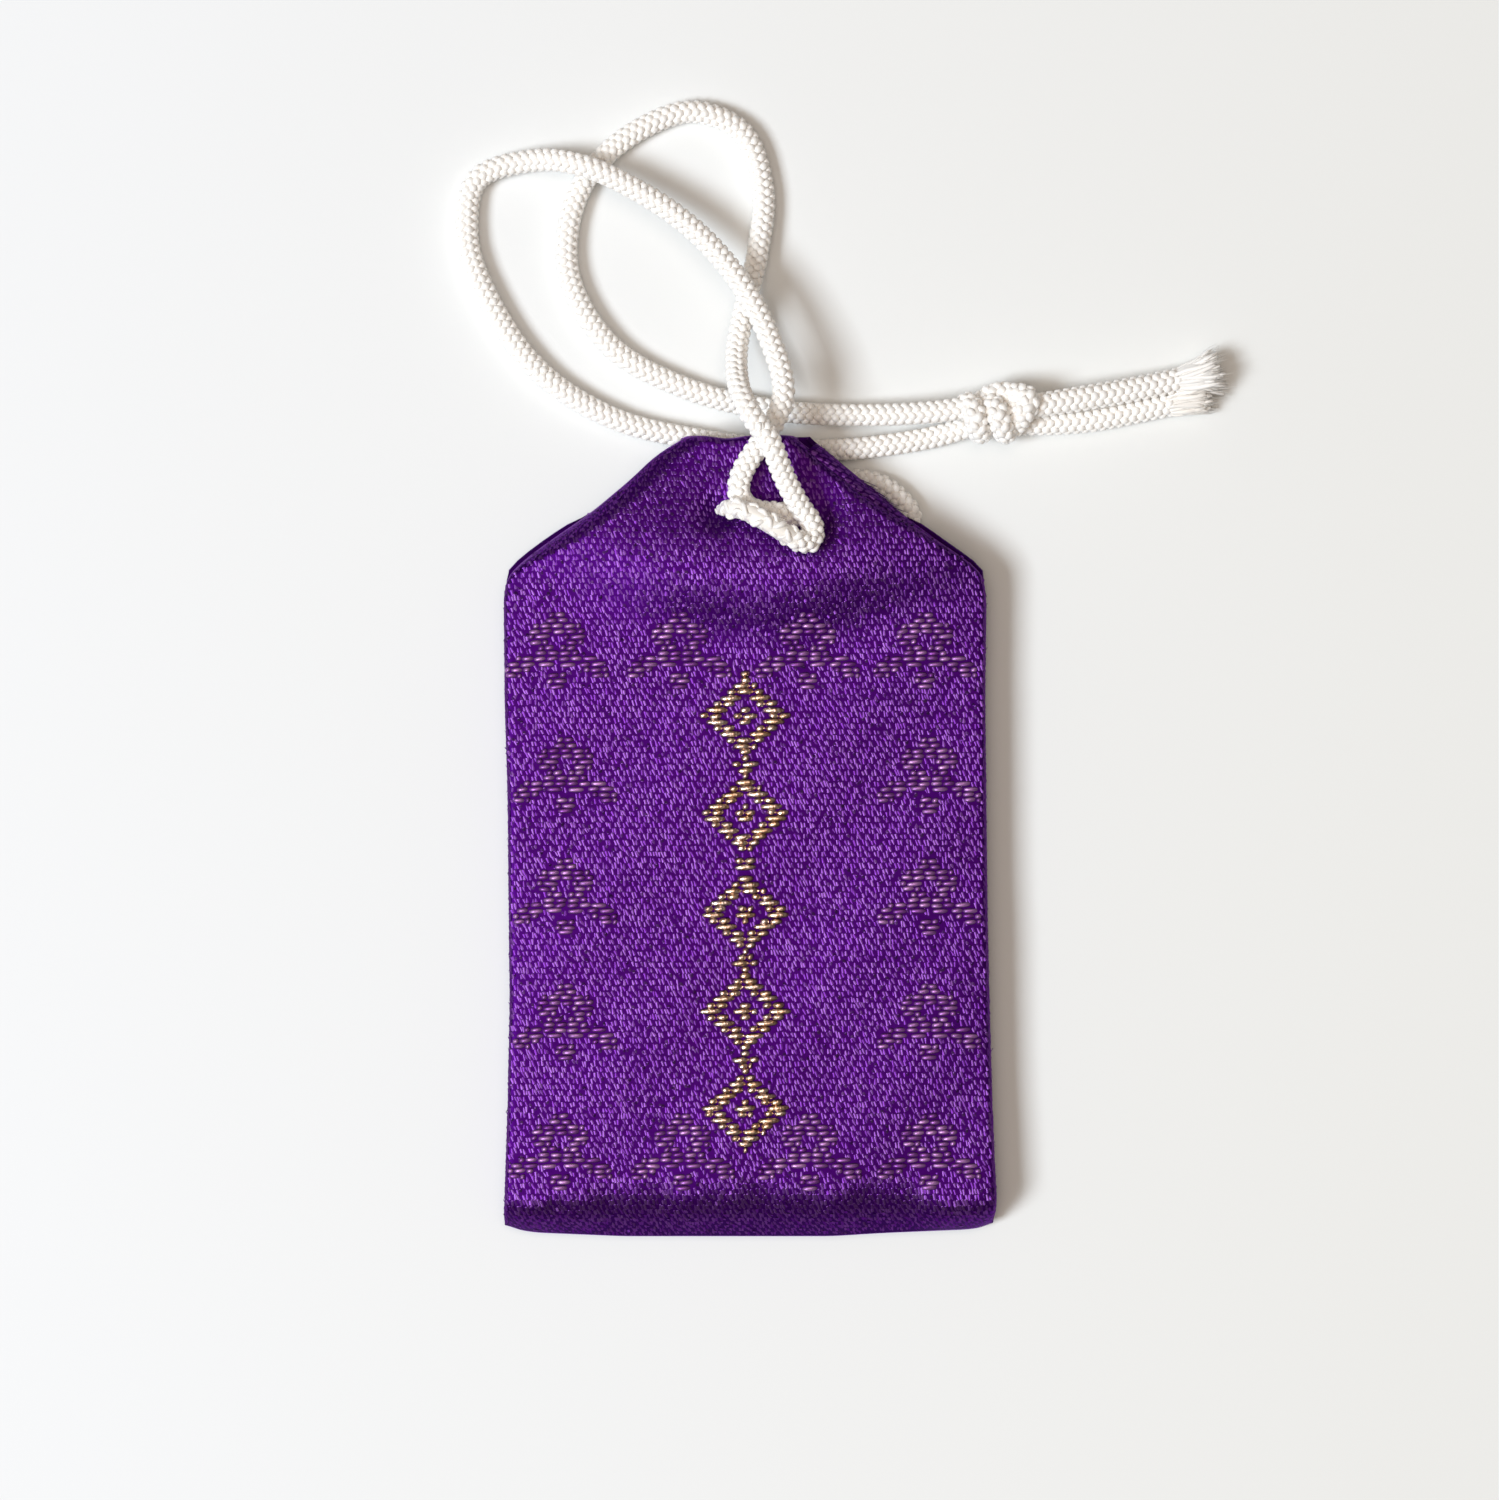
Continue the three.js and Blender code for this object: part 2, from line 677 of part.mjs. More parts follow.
addPiece(cordLoop, "tuft_lower", frayedTuft(lowerTailRoute), whiteCord);

export default charm;
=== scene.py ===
import json
import math

import bpy
import numpy as np
from mathutils import Vector
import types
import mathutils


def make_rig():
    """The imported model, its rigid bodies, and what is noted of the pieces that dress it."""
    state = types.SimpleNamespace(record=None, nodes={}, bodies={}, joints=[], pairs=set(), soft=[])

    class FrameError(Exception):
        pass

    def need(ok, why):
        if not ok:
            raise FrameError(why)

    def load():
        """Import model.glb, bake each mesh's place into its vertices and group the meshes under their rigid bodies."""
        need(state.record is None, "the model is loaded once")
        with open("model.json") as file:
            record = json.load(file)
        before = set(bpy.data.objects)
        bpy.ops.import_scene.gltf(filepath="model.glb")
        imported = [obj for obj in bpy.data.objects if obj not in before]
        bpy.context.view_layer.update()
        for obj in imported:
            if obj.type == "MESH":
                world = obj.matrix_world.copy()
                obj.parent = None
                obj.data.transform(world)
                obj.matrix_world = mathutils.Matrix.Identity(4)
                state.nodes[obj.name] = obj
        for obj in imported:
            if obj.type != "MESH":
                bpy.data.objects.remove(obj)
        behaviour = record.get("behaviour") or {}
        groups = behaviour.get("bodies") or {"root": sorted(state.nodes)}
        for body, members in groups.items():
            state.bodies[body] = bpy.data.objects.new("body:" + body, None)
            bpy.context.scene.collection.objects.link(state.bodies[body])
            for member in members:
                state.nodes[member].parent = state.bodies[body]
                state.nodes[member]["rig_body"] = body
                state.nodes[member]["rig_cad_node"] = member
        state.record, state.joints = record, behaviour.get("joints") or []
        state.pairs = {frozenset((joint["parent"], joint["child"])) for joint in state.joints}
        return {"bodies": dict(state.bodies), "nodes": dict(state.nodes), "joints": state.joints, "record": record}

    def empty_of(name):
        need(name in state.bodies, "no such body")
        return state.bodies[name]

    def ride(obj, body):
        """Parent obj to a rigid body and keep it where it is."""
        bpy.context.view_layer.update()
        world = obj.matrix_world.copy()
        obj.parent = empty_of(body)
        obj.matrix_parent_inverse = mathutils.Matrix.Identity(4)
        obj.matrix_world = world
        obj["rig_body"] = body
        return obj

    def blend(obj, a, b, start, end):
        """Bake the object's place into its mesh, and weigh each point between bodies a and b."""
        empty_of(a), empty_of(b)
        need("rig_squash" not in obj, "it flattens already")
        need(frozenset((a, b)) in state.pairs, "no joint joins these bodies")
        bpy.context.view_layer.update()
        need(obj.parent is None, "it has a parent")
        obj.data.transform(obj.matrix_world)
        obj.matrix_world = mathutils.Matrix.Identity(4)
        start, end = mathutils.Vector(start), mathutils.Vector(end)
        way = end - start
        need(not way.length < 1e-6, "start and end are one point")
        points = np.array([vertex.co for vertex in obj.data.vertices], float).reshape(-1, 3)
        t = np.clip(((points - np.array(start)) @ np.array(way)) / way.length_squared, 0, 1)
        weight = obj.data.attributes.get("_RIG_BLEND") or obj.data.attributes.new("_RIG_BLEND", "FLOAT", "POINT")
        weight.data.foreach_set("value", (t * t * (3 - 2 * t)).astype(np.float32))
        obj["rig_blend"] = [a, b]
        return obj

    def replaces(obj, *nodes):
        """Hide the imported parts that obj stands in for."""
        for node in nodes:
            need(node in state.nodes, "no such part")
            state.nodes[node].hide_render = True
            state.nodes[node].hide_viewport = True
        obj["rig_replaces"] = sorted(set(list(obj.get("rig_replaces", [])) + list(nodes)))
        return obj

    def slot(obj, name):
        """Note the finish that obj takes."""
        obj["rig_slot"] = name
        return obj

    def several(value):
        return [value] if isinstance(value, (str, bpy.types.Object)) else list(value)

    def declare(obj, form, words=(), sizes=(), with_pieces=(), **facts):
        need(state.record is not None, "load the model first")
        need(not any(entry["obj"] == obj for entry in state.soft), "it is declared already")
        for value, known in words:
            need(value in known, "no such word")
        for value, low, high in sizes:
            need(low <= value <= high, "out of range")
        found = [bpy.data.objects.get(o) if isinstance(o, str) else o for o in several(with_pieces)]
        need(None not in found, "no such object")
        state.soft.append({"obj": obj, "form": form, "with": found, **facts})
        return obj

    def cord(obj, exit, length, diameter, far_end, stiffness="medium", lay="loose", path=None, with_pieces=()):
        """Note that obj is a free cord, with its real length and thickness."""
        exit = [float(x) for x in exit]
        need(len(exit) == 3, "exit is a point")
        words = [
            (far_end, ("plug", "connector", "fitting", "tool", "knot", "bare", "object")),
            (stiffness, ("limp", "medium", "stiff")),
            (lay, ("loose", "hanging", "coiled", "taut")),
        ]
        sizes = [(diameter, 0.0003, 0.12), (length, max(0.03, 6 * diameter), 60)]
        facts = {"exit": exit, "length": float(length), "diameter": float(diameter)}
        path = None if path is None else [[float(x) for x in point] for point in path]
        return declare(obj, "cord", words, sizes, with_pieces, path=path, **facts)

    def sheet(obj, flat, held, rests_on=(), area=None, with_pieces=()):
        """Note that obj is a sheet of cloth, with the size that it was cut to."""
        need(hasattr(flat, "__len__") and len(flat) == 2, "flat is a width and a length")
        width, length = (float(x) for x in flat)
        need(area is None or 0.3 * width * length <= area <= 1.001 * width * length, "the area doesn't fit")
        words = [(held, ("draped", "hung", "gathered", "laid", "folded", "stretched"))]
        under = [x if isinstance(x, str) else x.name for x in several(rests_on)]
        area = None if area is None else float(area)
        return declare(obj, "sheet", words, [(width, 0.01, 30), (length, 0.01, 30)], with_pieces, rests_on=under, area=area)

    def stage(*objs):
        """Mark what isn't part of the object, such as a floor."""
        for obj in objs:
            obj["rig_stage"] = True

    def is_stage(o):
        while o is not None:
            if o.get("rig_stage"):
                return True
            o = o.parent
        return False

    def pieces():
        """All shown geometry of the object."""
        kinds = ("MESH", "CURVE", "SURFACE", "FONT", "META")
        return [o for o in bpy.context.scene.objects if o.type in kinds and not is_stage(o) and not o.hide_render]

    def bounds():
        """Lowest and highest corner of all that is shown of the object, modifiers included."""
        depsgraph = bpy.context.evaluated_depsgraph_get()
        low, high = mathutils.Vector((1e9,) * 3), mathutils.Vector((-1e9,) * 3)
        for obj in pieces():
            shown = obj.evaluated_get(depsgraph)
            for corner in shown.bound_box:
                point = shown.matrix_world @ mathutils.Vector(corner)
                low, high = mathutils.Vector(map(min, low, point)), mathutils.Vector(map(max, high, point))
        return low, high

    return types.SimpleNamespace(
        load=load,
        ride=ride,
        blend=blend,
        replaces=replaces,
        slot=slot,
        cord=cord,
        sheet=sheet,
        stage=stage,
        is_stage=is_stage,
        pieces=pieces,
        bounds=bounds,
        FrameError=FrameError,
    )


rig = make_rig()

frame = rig.load()
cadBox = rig.bounds()
bpy.ops.object.select_all(action="DESELECT")
scene = bpy.context.scene
scene.view_settings.view_transform = "Standard"
mm = 0.001
fullTurn = 2 * math.pi
chance = np.random.default_rng(7)
mixBy, mixA, mixB, mixed = 0, 6, 7, 2  # sockets of a node that mixes two colours


def hexColour(text):  # sRGB hex to linear
    parts = [int(text[i : i + 2], 16) / 255 for i in (1, 3, 5)]
    return [p / 12.92 if p <= 0.04045 else ((p + 0.055) / 1.055) ** 2.4 for p in parts] + [1.0]


def setInputs(node, inputs):  # each is a value, a colour in hex or a link
    for socket, value in inputs.items():
        if isinstance(value, bpy.types.NodeSocket):
            node.id_data.links.new(value, node.inputs[socket])
        else:
            node.inputs[socket].default_value = hexColour(value) if isinstance(value, str) else value


def addNode(tree, kind, inputs=None, **settings):  # one shader node
    node = tree.nodes.new("ShaderNode" + kind)
    for name, value in settings.items():
        setattr(node, name, value)
    setInputs(node, inputs or {})
    return node


def newMaterial(name):  # with its surface node, whose inputs are set last
    material = bpy.data.materials.new(name)
    material.use_nodes = True
    tree = material.node_tree
    tree.nodes.clear()
    shade = addNode(tree, "BsdfPrincipled")
    addNode(tree, "OutputMaterial", {"Surface": shade.outputs["BSDF"]})
    return material, tree, shade


def meshPiece(name, points, faces, material, marks=None):  # points in mm, marks are vectors at the points
    mesh = bpy.data.meshes.new(name)
    mesh.from_pydata((np.asarray(points) * mm).tolist(), [], [list(f) for f in faces])
    mesh.polygons.foreach_set("use_smooth", [True] * len(mesh.polygons))
    mesh.materials.append(material)
    for mark, values in (marks or {}).items():
        layer = mesh.attributes.new(mark, "FLOAT_VECTOR", "POINT")
        layer.data.foreach_set("vector", np.asarray(values, np.float32).ravel())
    mesh.update()
    piece = bpy.data.objects.new(name, mesh)
    scene.collection.objects.link(piece)
    return piece


def smoothStep(low, high, value):
    t = np.clip((value - low) / (high - low), 0, 1)
    return t * t * (3 - 2 * t)


def bell(distance, width):
    return np.exp(-((distance / width) ** 2))


def tableCurve(rows, at, blur):  # reads a measured table with its corners eased
    keys, values = np.array(sorted(rows), float).T
    shifts = np.linspace(-blur, blur, 9)
    return np.mean([np.interp(np.asarray(at) + shift, keys, values) for shift in shifts], axis=0)


# Camera straight above the table
view = {"height": 450.0, "centreX": 0.1, "centreY": 8.2, "span": 143.5, "sensor": 36}
cameraData = bpy.data.cameras.new("camera")
cameraData.sensor_width = view["sensor"]
cameraData.lens = view["sensor"] * view["height"] / view["span"]
cameraData.clip_start = 0.01
camera = bpy.data.objects.new("camera", cameraData)
camera.location = Vector((view["centreX"], view["centreY"], view["height"])) * mm
scene.collection.objects.link(camera)
scene.camera = camera

# A window-like light from the left and a little below, a long soft light overhead, and a faint warm fill
lights = {
    "windowLight": {"place": (-1077, -334, 1468), "size": (600, 600), "watts": 33.2, "colour": "#eff7ff"},
    "overheadLight": {"place": (-40, 20, 900), "size": (700, 420), "watts": 2.95, "colour": "#ffeee0"},
}
fill = {"colour": "#ffeee0", "strength": 0.135}
for name, lamp in lights.items():
    lampData = bpy.data.lights.new(name, "AREA")
    lampData.shape = "RECTANGLE"
    lampData.size, lampData.size_y = lamp["size"][0] * mm, lamp["size"][1] * mm
    lampData.energy = lamp["watts"]
    lampData.color = hexColour(lamp["colour"])[:3]
    lampPiece = bpy.data.objects.new(name, lampData)
    lampPiece.location = Vector(lamp["place"]) * mm
    lampPiece.rotation_euler = (-lampPiece.location).to_track_quat("-Z", "Y").to_euler()
    scene.collection.objects.link(lampPiece)
world = bpy.data.worlds.new("studio")
world.use_nodes = True
world.node_tree.nodes["Background"].inputs["Color"].default_value = hexColour(fill["colour"])
world.node_tree.nodes["Background"].inputs["Strength"].default_value = fill["strength"]
scene.world = world

# Table top: matt white laminate, an almost even tone with a faint mottle, with painted shade that makes it a little
# greyer to the right, where the light falls off
tableTop, tree, shade = newMaterial("matt white laminate")
place = addNode(tree, "TexCoord")
axes = addNode(tree, "SeparateXYZ", {"Vector": place.outputs["Object"]})
paintedFalloffRightwards = addNode(tree, "MapRange", {"Value": axes.outputs["X"], "From Min": -0.08, "From Max": 0.08})
mottle = addNode(tree, "TexNoise", {"Vector": place.outputs["Object"], "Scale": 18.0, "Detail": 3.0})
spread = addNode(tree, "Math", {
    0: mottle.outputs["Fac"], 1: 0.2, 2: paintedFalloffRightwards.outputs["Result"],
}, operation="MULTIPLY_ADD")
# painted shade: the tone greys from left to right
tone = addNode(
    tree, "Mix", {mixBy: spread.outputs["Value"], mixA: "#e9ebec", mixB: "#e6e7e4"}, data_type="RGBA"
)
setInputs(shade, {"Base Color": tone.outputs[mixed], "Roughness": 0.75, "Specular IOR Level": 0.2})
bpy.ops.mesh.primitive_plane_add(size=3.0, location=(0, 0, 0))
floor = bpy.context.object
floor.name = "table_top"
floor.data.materials.append(tableTop)
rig.stage(floor)
print("camera, lights and table are in place")

# Braided cord: bright spun rayon, laid as eight yarns. They show as rows of round beads with small pits
# between the rows and fine filament lines, white where they stand out, with painted shade that makes them
# creamier in the hollows.
rayonCord, tree, shade = newMaterial("braided spun rayon")
yarn = addNode(tree, "Attribute", attribute_name="yarn")
depth = addNode(tree, "Attribute", attribute_name="depth")
split = addNode(tree, "SeparateXYZ", {"Vector": depth.outputs["Vector"]})
# Filaments drawn about 0.1 mm wide, so that they show
filament = addNode(tree, "Mapping", {"Vector": yarn.outputs["Vector"], "Scale": (3.2, 3.2, 1.0)})
lines = addNode(tree, "TexNoise", {"Vector": filament.outputs["Vector"], "Scale": 1.0, "Detail": 2.0})
# painted shade: the deeper a point lies in the cord, the creamier its colour
rise = addNode(tree, "MapRange", {
    "Value": split.outputs["X"], "From Min": 0.3, "From Max": 0.78,
}, interpolation_type="SMOOTHSTEP")
tone = addNode(
    tree, "Mix", {mixBy: rise.outputs["Result"], mixA: "#efe4d5", mixB: "#fefbf6"}, data_type="RGBA"
)
streak = addNode(
    tree, "Mix", {mixBy: lines.outputs["Fac"], mixA: "#f8f6f3", mixB: "#ffffff"}, data_type="RGBA"
)
pitted = addNode(tree, "Mix", {
    mixBy: 0.6, mixA: tone.outputs[mixed], mixB: streak.outputs[mixed],
}, data_type="RGBA", blend_type="MULTIPLY")
bump = addNode(tree, "Bump", {"Height": lines.outputs["Fac"], "Strength": 0.5, "Distance": 0.00005})
setInputs(shade, {
    "Base Color": pitted.outputs[mixed], "Roughness": 0.4, "Specular IOR Level": 0.5, "Sheen Weight": 0.5,
    "Subsurface Weight": 0.15, "Subsurface Radius": (1.0, 0.9, 0.8), "Subsurface Scale": 0.0003,
    "Normal": bump.outputs["Normal"],
})

cordMake = {
    "diameter": 2.3, "lay": 3.3, "stepsPerLay": 40, "core": 0.9, "coreDepth": 0.6,
    "yarnsEachWay": 4, "yarnSides": 6, "yarnWide": 0.4, "yarnThick": 0.3,
    "yarnOut": 0.85, "yarnIn": 0.58,  # from the cord's middle to a yarn's, on top and underneath
    "crown": 1.4,  # above 1 a yarn is on top for less than half of its way
    "sway": 0.14, "swayLength": 47,  # the braid rolls to and fro by this angle over this length
    "pulledOpen": 1.6, "strayOut": 0.13, "strayRound": 0.3, "thinned": 0.3,  # where it is untidy
}


def smoothRoute(points, step):  # even steps along one smooth curve through the points
    knots = np.array(points, float)
    gaps = np.linalg.norm(np.diff(knots, axis=0), axis=1)
    at = np.r_[0, np.cumsum(gaps)]
    slopes = np.gradient(knots, at, axis=0)
    fine = np.linspace(0, at[-1], int(at[-1] / 0.04))
    i = np.clip(np.searchsorted(at, fine, side="right") - 1, 0, len(gaps) - 1)
    t = ((fine - at[i]) / gaps[i])[:, None]
    span = gaps[i][:, None]
    curve = knots[i] * (1 + 2 * t) * (1 - t) ** 2 + slopes[i] * span * t * (1 - t) ** 2
    curve = curve + knots[i + 1] * t * t * (3 - 2 * t) + slopes[i + 1] * span * t * t * (t - 1)
    walked = np.r_[0, np.cumsum(np.linalg.norm(np.diff(curve, axis=0), axis=1))]
    even = np.linspace(0, walked[-1], max(2, int(round(walked[-1] / step)) + 1))
    return np.column_stack([np.interp(even, walked, curve[:, k]) for k in range(3)])


def unit(vectors):
    return vectors / np.maximum(np.linalg.norm(vectors, axis=-1, keepdims=True), 1e-12)


def carriedFrame(route, start):  # two side directions carried along the route without twisting
    along = unit(np.gradient(route, axis=0))
    side = np.zeros_like(route)
    side[start] = unit(np.array([0, 0, 1.0]) - along[start] * along[start][2])
    for order in (range(start + 1, len(route)), range(start - 1, -1, -1)):
        previous = start
        for i in order:
            side[i] = unit(side[previous] - along[i] * (side[previous] @ along[i]))
            previous = i
    return side, np.cross(along, side)


def ovalRings(line, side, other, wide, thick, sides):  # an oval of points round each point of a line
    around = np.arange(sides) * fullTurn / sides
    sideways = (np.cos(around) * wide[:, None])[:, :, None] * side[:, None, :]
    outwards = (np.sin(around) * thick[:, None])[:, :, None] * other[:, None, :]
    return line[:, None, :] + sideways + outwards


def strandMarks(along, sides):  # places round a strand and along it, for its filament lines
    around = np.arange(sides) * fullTurn / sides
    marks = np.zeros(along.shape + (sides, 3))
    marks[..., 0] = np.cos(around)
    marks[..., 1] = np.sin(around)
    marks[..., 2] = along[..., None]
    return marks


def tubeFaces(rings, sides, first=0):
    faces = []
    for i in range(rings - 1):
        for k in range(sides):
            a, b = first + i * sides + k, first + i * sides + (k + 1) % sides
            faces.append((a, b, b + sides, a + sides))
    faces.append(tuple(first + k for k in reversed(range(sides))))
    faces.append(tuple(first + (rings - 1) * sides + k for k in range(sides)))
    return faces


# The yarns along an evenly stepped route, over a plain core
def braid(route, start, untidy=None, loosened=1.0, roll=0.05, slim=None):
    make = cordMake
    side, other = carriedFrame(route, start)
    step = np.linalg.norm(np.diff(route, axis=0), axis=1).mean()
    s = np.arange(len(route)) * step
    untidy = np.zeros(len(route)) if untidy is None else untidy
    loosened = loosened * (np.ones(len(route)) if slim is None else slim)
    laid = np.cumsum(step / (make["lay"] * (1 + make["pulledOpen"] * untidy)))  # turns of a yarn so far
    rolled = roll + make["sway"] * np.sin(fullTurn * s / make["swayLength"] + 3 * roll)
    points, yarns, depths = [], [], []
    each, sides = make["yarnsEachWay"], make["yarnSides"]
    for way in (1, -1):
        for k in range(each):
            turn = way * fullTurn * (laid + (k + (way > 0) * 0.5) / each)  # the ways lie half a step apart
            out = (0.5 + 0.5 * way * np.sin(each * turn)) ** make["crown"]
            radius = make["yarnIn"] + (make["yarnOut"] - make["yarnIn"]) * out
            wander = np.sin(fullTurn * s / chance.uniform(1.0, 2.2) + chance.uniform(0, 6))
            radius = radius + untidy * make["strayOut"] * wander
            wander = np.sin(fullTurn * s / chance.uniform(0.9, 2) + chance.uniform(0, 6))
            angle = turn + rolled + untidy * make["strayRound"] * wander
            away = np.cos(angle)[:, None] * side + np.sin(angle)[:, None] * other
            centre = route + (loosened * radius)[:, None] * away
            run = unit(np.gradient(centre, axis=0))
            wide = unit(np.cross(run, away))
            plump = loosened * (0.5 + 0.5 * out) * (1 - make["thinned"] * untidy)  # swollen on top
            size = make["yarnWide"] * plump, make["yarnThick"] * plump
            ring = ovalRings(centre, wide, np.cross(wide, run), *size, sides)
            points.append(ring)
            yarns.append(strandMarks(s + 31.7 * (k + each * (way > 0)), sides))  # no two look alike
            reach = np.linalg.norm(ring - route[:, None, :], axis=2)
            reach = reach / (loosened * make["diameter"] / 2)[:, None]
            depths.append(np.repeat(reach[:, :, None], 3, axis=2))
    core = make["core"] * loosened
    points.append(ovalRings(route, side, other, core, core, sides))
    yarns.append(np.zeros_like(points[-1]))
    # painted shade: the core, seen in the pits, takes a creamier tone
    depths.append(np.full_like(points[-1], make["coreDepth"]))
    return np.array(points), np.array(yarns), np.array(depths)


def strandPiece(name, rings, yarns, depths):  # closed tubes, each a row of rings, as one piece of cord
    faces, start = [], 0
    for ring in rings:
        faces += tubeFaces(*ring.shape[:2], start)
        start += ring.shape[0] * ring.shape[1]
    points, yarn, depth = (np.vstack([p.reshape(-1, 3) for p in part]) for part in (rings, yarns, depths))
    return meshPiece(name, points, faces, rayonCord, {"yarn": yarn, "depth": depth})


def braidPiece(name, braids, low=0, high=None):  # one or more braids, or a stretch of them, as one piece
    return strandPiece(name, *([yarn[low:high] for made in braids for yarn in made[k]] for k in range(3)))


cordStep = cordMake["lay"] / cordMake["stepsPerLay"]
cordRoutes = {
    "left": [
        (4.6, 29.9, 4.45), (4.5, 30, 5.85), (4, 30.25, 7.15), (2.8, 30.5, 7.7), (1.3, 30.6, 7.7),
        (-0.1, 31.1, 7.7), (-0.9, 32.35, 7.7), (-0.7, 34, 7.7), (0.2, 35.7, 7.7), (1.1, 37, 7.7),
        (1.9, 38.2, 7.7), (2.8, 39.8, 7.5), (3.3, 41.6, 7.25), (3.1, 43.8, 6.92), (2.4, 45.95, 6.6),
        (0.2, 50.8, 6.01), (-4.8, 57.1, 4.9), (-11.4, 61.7, 4.27), (-15.4, 63.5, 4.11), (-20.9, 64.3, 1.93),
        (-25.9, 62.6, 1.2), (-26.8, 57.1, 1.2), (-24.5, 50.7, 1.2), (-19.8, 44.2, 1.2), (-13, 39.9, 1.2),
        (-4.6, 37.8, 1.2), (4.9, 36.8, 1.2), (12.5, 37.2, 1.33), (19.4, 38.5, 1.56), (22, 39.4, 2.2),
    ],
    "right": [
        (-3, 30.7, 4.45), (-2.7, 30.8, 5.9), (-2.1, 30.9, 7.5), (-1.3, 30.85, 9), (-0.3, 30.6, 9.9),
        (0.9, 30, 10.15), (2.1, 29.3, 10.1), (3.6, 28.4, 9.7), (4.9, 27.75, 9.05), (5.95, 27.85, 8.4),
        (6.05, 29.1, 8.25), (4.8, 31.1, 8.55), (3.4, 33.7, 9.3), (2.25, 36.5, 10.3), (1.82, 37.45, 10.3),
        (0.9, 38.6, 10.22), (0, 40, 9.78), (-0.7, 41.6, 8.74), (-1.1, 43.8, 6.66), (-1.1, 45.95, 5.1),
        (-0.3, 50.4, 3.28), (0.9, 55.8, 1.72), (1.4, 61.5, 1.2), (-0.9, 67.4, 1.2), (-5.1, 69.1, 1.2),
        (-10.4, 67.4, 1.2), (-16, 61.8, 1.2), (-17.2, 53.9, 1.2), (-13.3, 46.9, 1.2), (-5.9, 42.7, 1.2),
        (2.1, 40.7, 1.2), (11.1, 40.1, 1.98), (19.4, 40.5, 3.4), (22, 40.9, 3.6),
    ],
    "bight": [
        (4.6, 29.9, 4.15), (4.6, 29.9, 2.8), (4.95, 29.6, 1.65), (6, 28.9, 1.2), (8.6, 28.1, 1.2),
        (12.4, 28, 1.2), (15, 29, 1.2), (15.5, 30.5, 1.2), (14.4, 32.1, 1.2), (12.9, 33.3, 1.2),
        (11, 33.9, 1.2), (8.2, 33.7, 1.2), (4.6, 33.3, 1.2), (1, 32.1, 1.2), (-1.4, 30.9, 1.2),
        (-2.4, 30.7, 1.65), (-2.9, 30.7, 2.8), (-3, 30.7, 4.15),
    ],
    "upperTail": [
        (22.9, 40.2, 3.3), (25.5, 40.55, 3.4), (28.1, 41, 3.3),
        (32.8, 41.8, 2.9), (36.7, 42.5, 2.5), (40.9, 43.4, 2.1),
    ],
    "lowerTail": [
        (22.9, 39.6, 2.2), (25.2, 39.4, 1.7), (27.6, 39.35, 1.46),
        (32.9, 39.7, 1.36), (36.8, 40.45, 1.3), (40.4, 41.2, 1.3),
    ],
}
mouthExit = 38.3  # the strands leave the cloth here
bendStart, bendEnd = Vector((0, 38.29, 9.21)) * mm, Vector((0, 40.97, 6.53)) * mm
strands = {  # each is one braid, cut at the mouth into two pieces
    "left": {
        "cord_left_leg_braid": ["cord_left_leg", "cord_left_bend"],
        "loop_outer_braid": ["loop_outer"],
    },
    "right": {
        "cord_right_leg_braid": ["cord_right_leg", "cord_right_bend"],
        "loop_inner_braid": ["loop_inner"],
    },
}
halfKnot = {"untidyIn": (1.5, 3.0), "untidyOut": (10.5, 12.5), "thinned": 0.55, "thinnedOut": (1.0, 5.0)}
cordPieces = {}
for name, pieces in strands.items():
    route = smoothRoute(cordRoutes[name], cordStep)
    cut = int(np.argmax(route[:, 1] > mouthExit))
    untidy, slim = None, None
    if name == "right":  # pulled open in the half knot, and drawn thin where it comes up through the cloth
        s = np.arange(len(route)) * cordStep
        untidy = smoothStep(*halfKnot["untidyIn"], s) * (1 - smoothStep(*halfKnot["untidyOut"], s))
        slim = 1 - halfKnot["thinned"] * (1 - smoothStep(*halfKnot["thinnedOut"], s))
    made = braid(route, len(route) - 1, untidy, slim=slim)
    for (piece, nodes), low, high in zip(pieces.items(), (0, cut), (cut + 1, len(route))):
        strand = braidPiece(piece, [made], low, high)
        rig.blend(strand, "pouch", "cord_loop", bendStart, bendEnd)
        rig.replaces(strand, *nodes)
        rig.slot(strand, "cord")
        cordPieces[piece] = (strand, route[low:high] * mm)
for name, piece, node, body, loosened in (
    ("bight", "cord_back_bight_braid", "cord_back_bight", "pouch", 1.0),
    ("upperTail", "tail_upper_braid", "tail_upper", "cord_loop", 1.1),
    ("lowerTail", "tail_lower_braid", "tail_lower", "cord_loop", 1.06),
):
    route = smoothRoute(cordRoutes[name], cordStep)
    strand = braidPiece(piece, [braid(route, len(route) // 2, loosened=loosened, roll=0.4)])
    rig.ride(strand, body)
    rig.replaces(strand, node)
    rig.slot(strand, "cord")
    cordPieces[piece] = (strand, route * mm)
print("cords are braided")

# Stopper knot: the doubled cord tied once, two slanting wraps side by side and an arch behind them that ends
# in a lobe
knot = {
    "centre": (23.8, 40.2, 2.95), "drop": -0.45, "tall": 1.35, "deep": 1.75, "loosened": 1.06,
    "degrees": (-40, 580, 18),  # first, last and step of the wraps
    "slant": [(-40, -3.2), (0, -2.95), (180, -1.75), (360, -0.9), (540, 0.65), (580, 0.75)],
    "arch": [
        (-2.2, 0.4, -1.2), (-1.4, 1.2, -0.5), (-0.5, 1.75, 0), (0.5, 1.9, 0.2), (1.4, 1.75, 0.45),
        (2.2, 1.65, 0.9), (2.75, 1.25, 1.4), (2.65, 0.55, 1.6), (2.2, -0.1, 1.3), (1.85, -0.7, 0.5),
        (1.7, -1.1, -0.5),
    ],
}
first, last, stride = knot["degrees"]
turnAt = np.radians(np.arange(first, last + 1, stride))
stepsOver = np.interp(np.degrees(turnAt), *np.array(knot["slant"], float).T)
upwards = knot["drop"] + knot["tall"] * np.cos(turnAt)
wraps = np.column_stack([stepsOver, upwards, knot["deep"] * np.sin(turnAt)])
knotParts = []
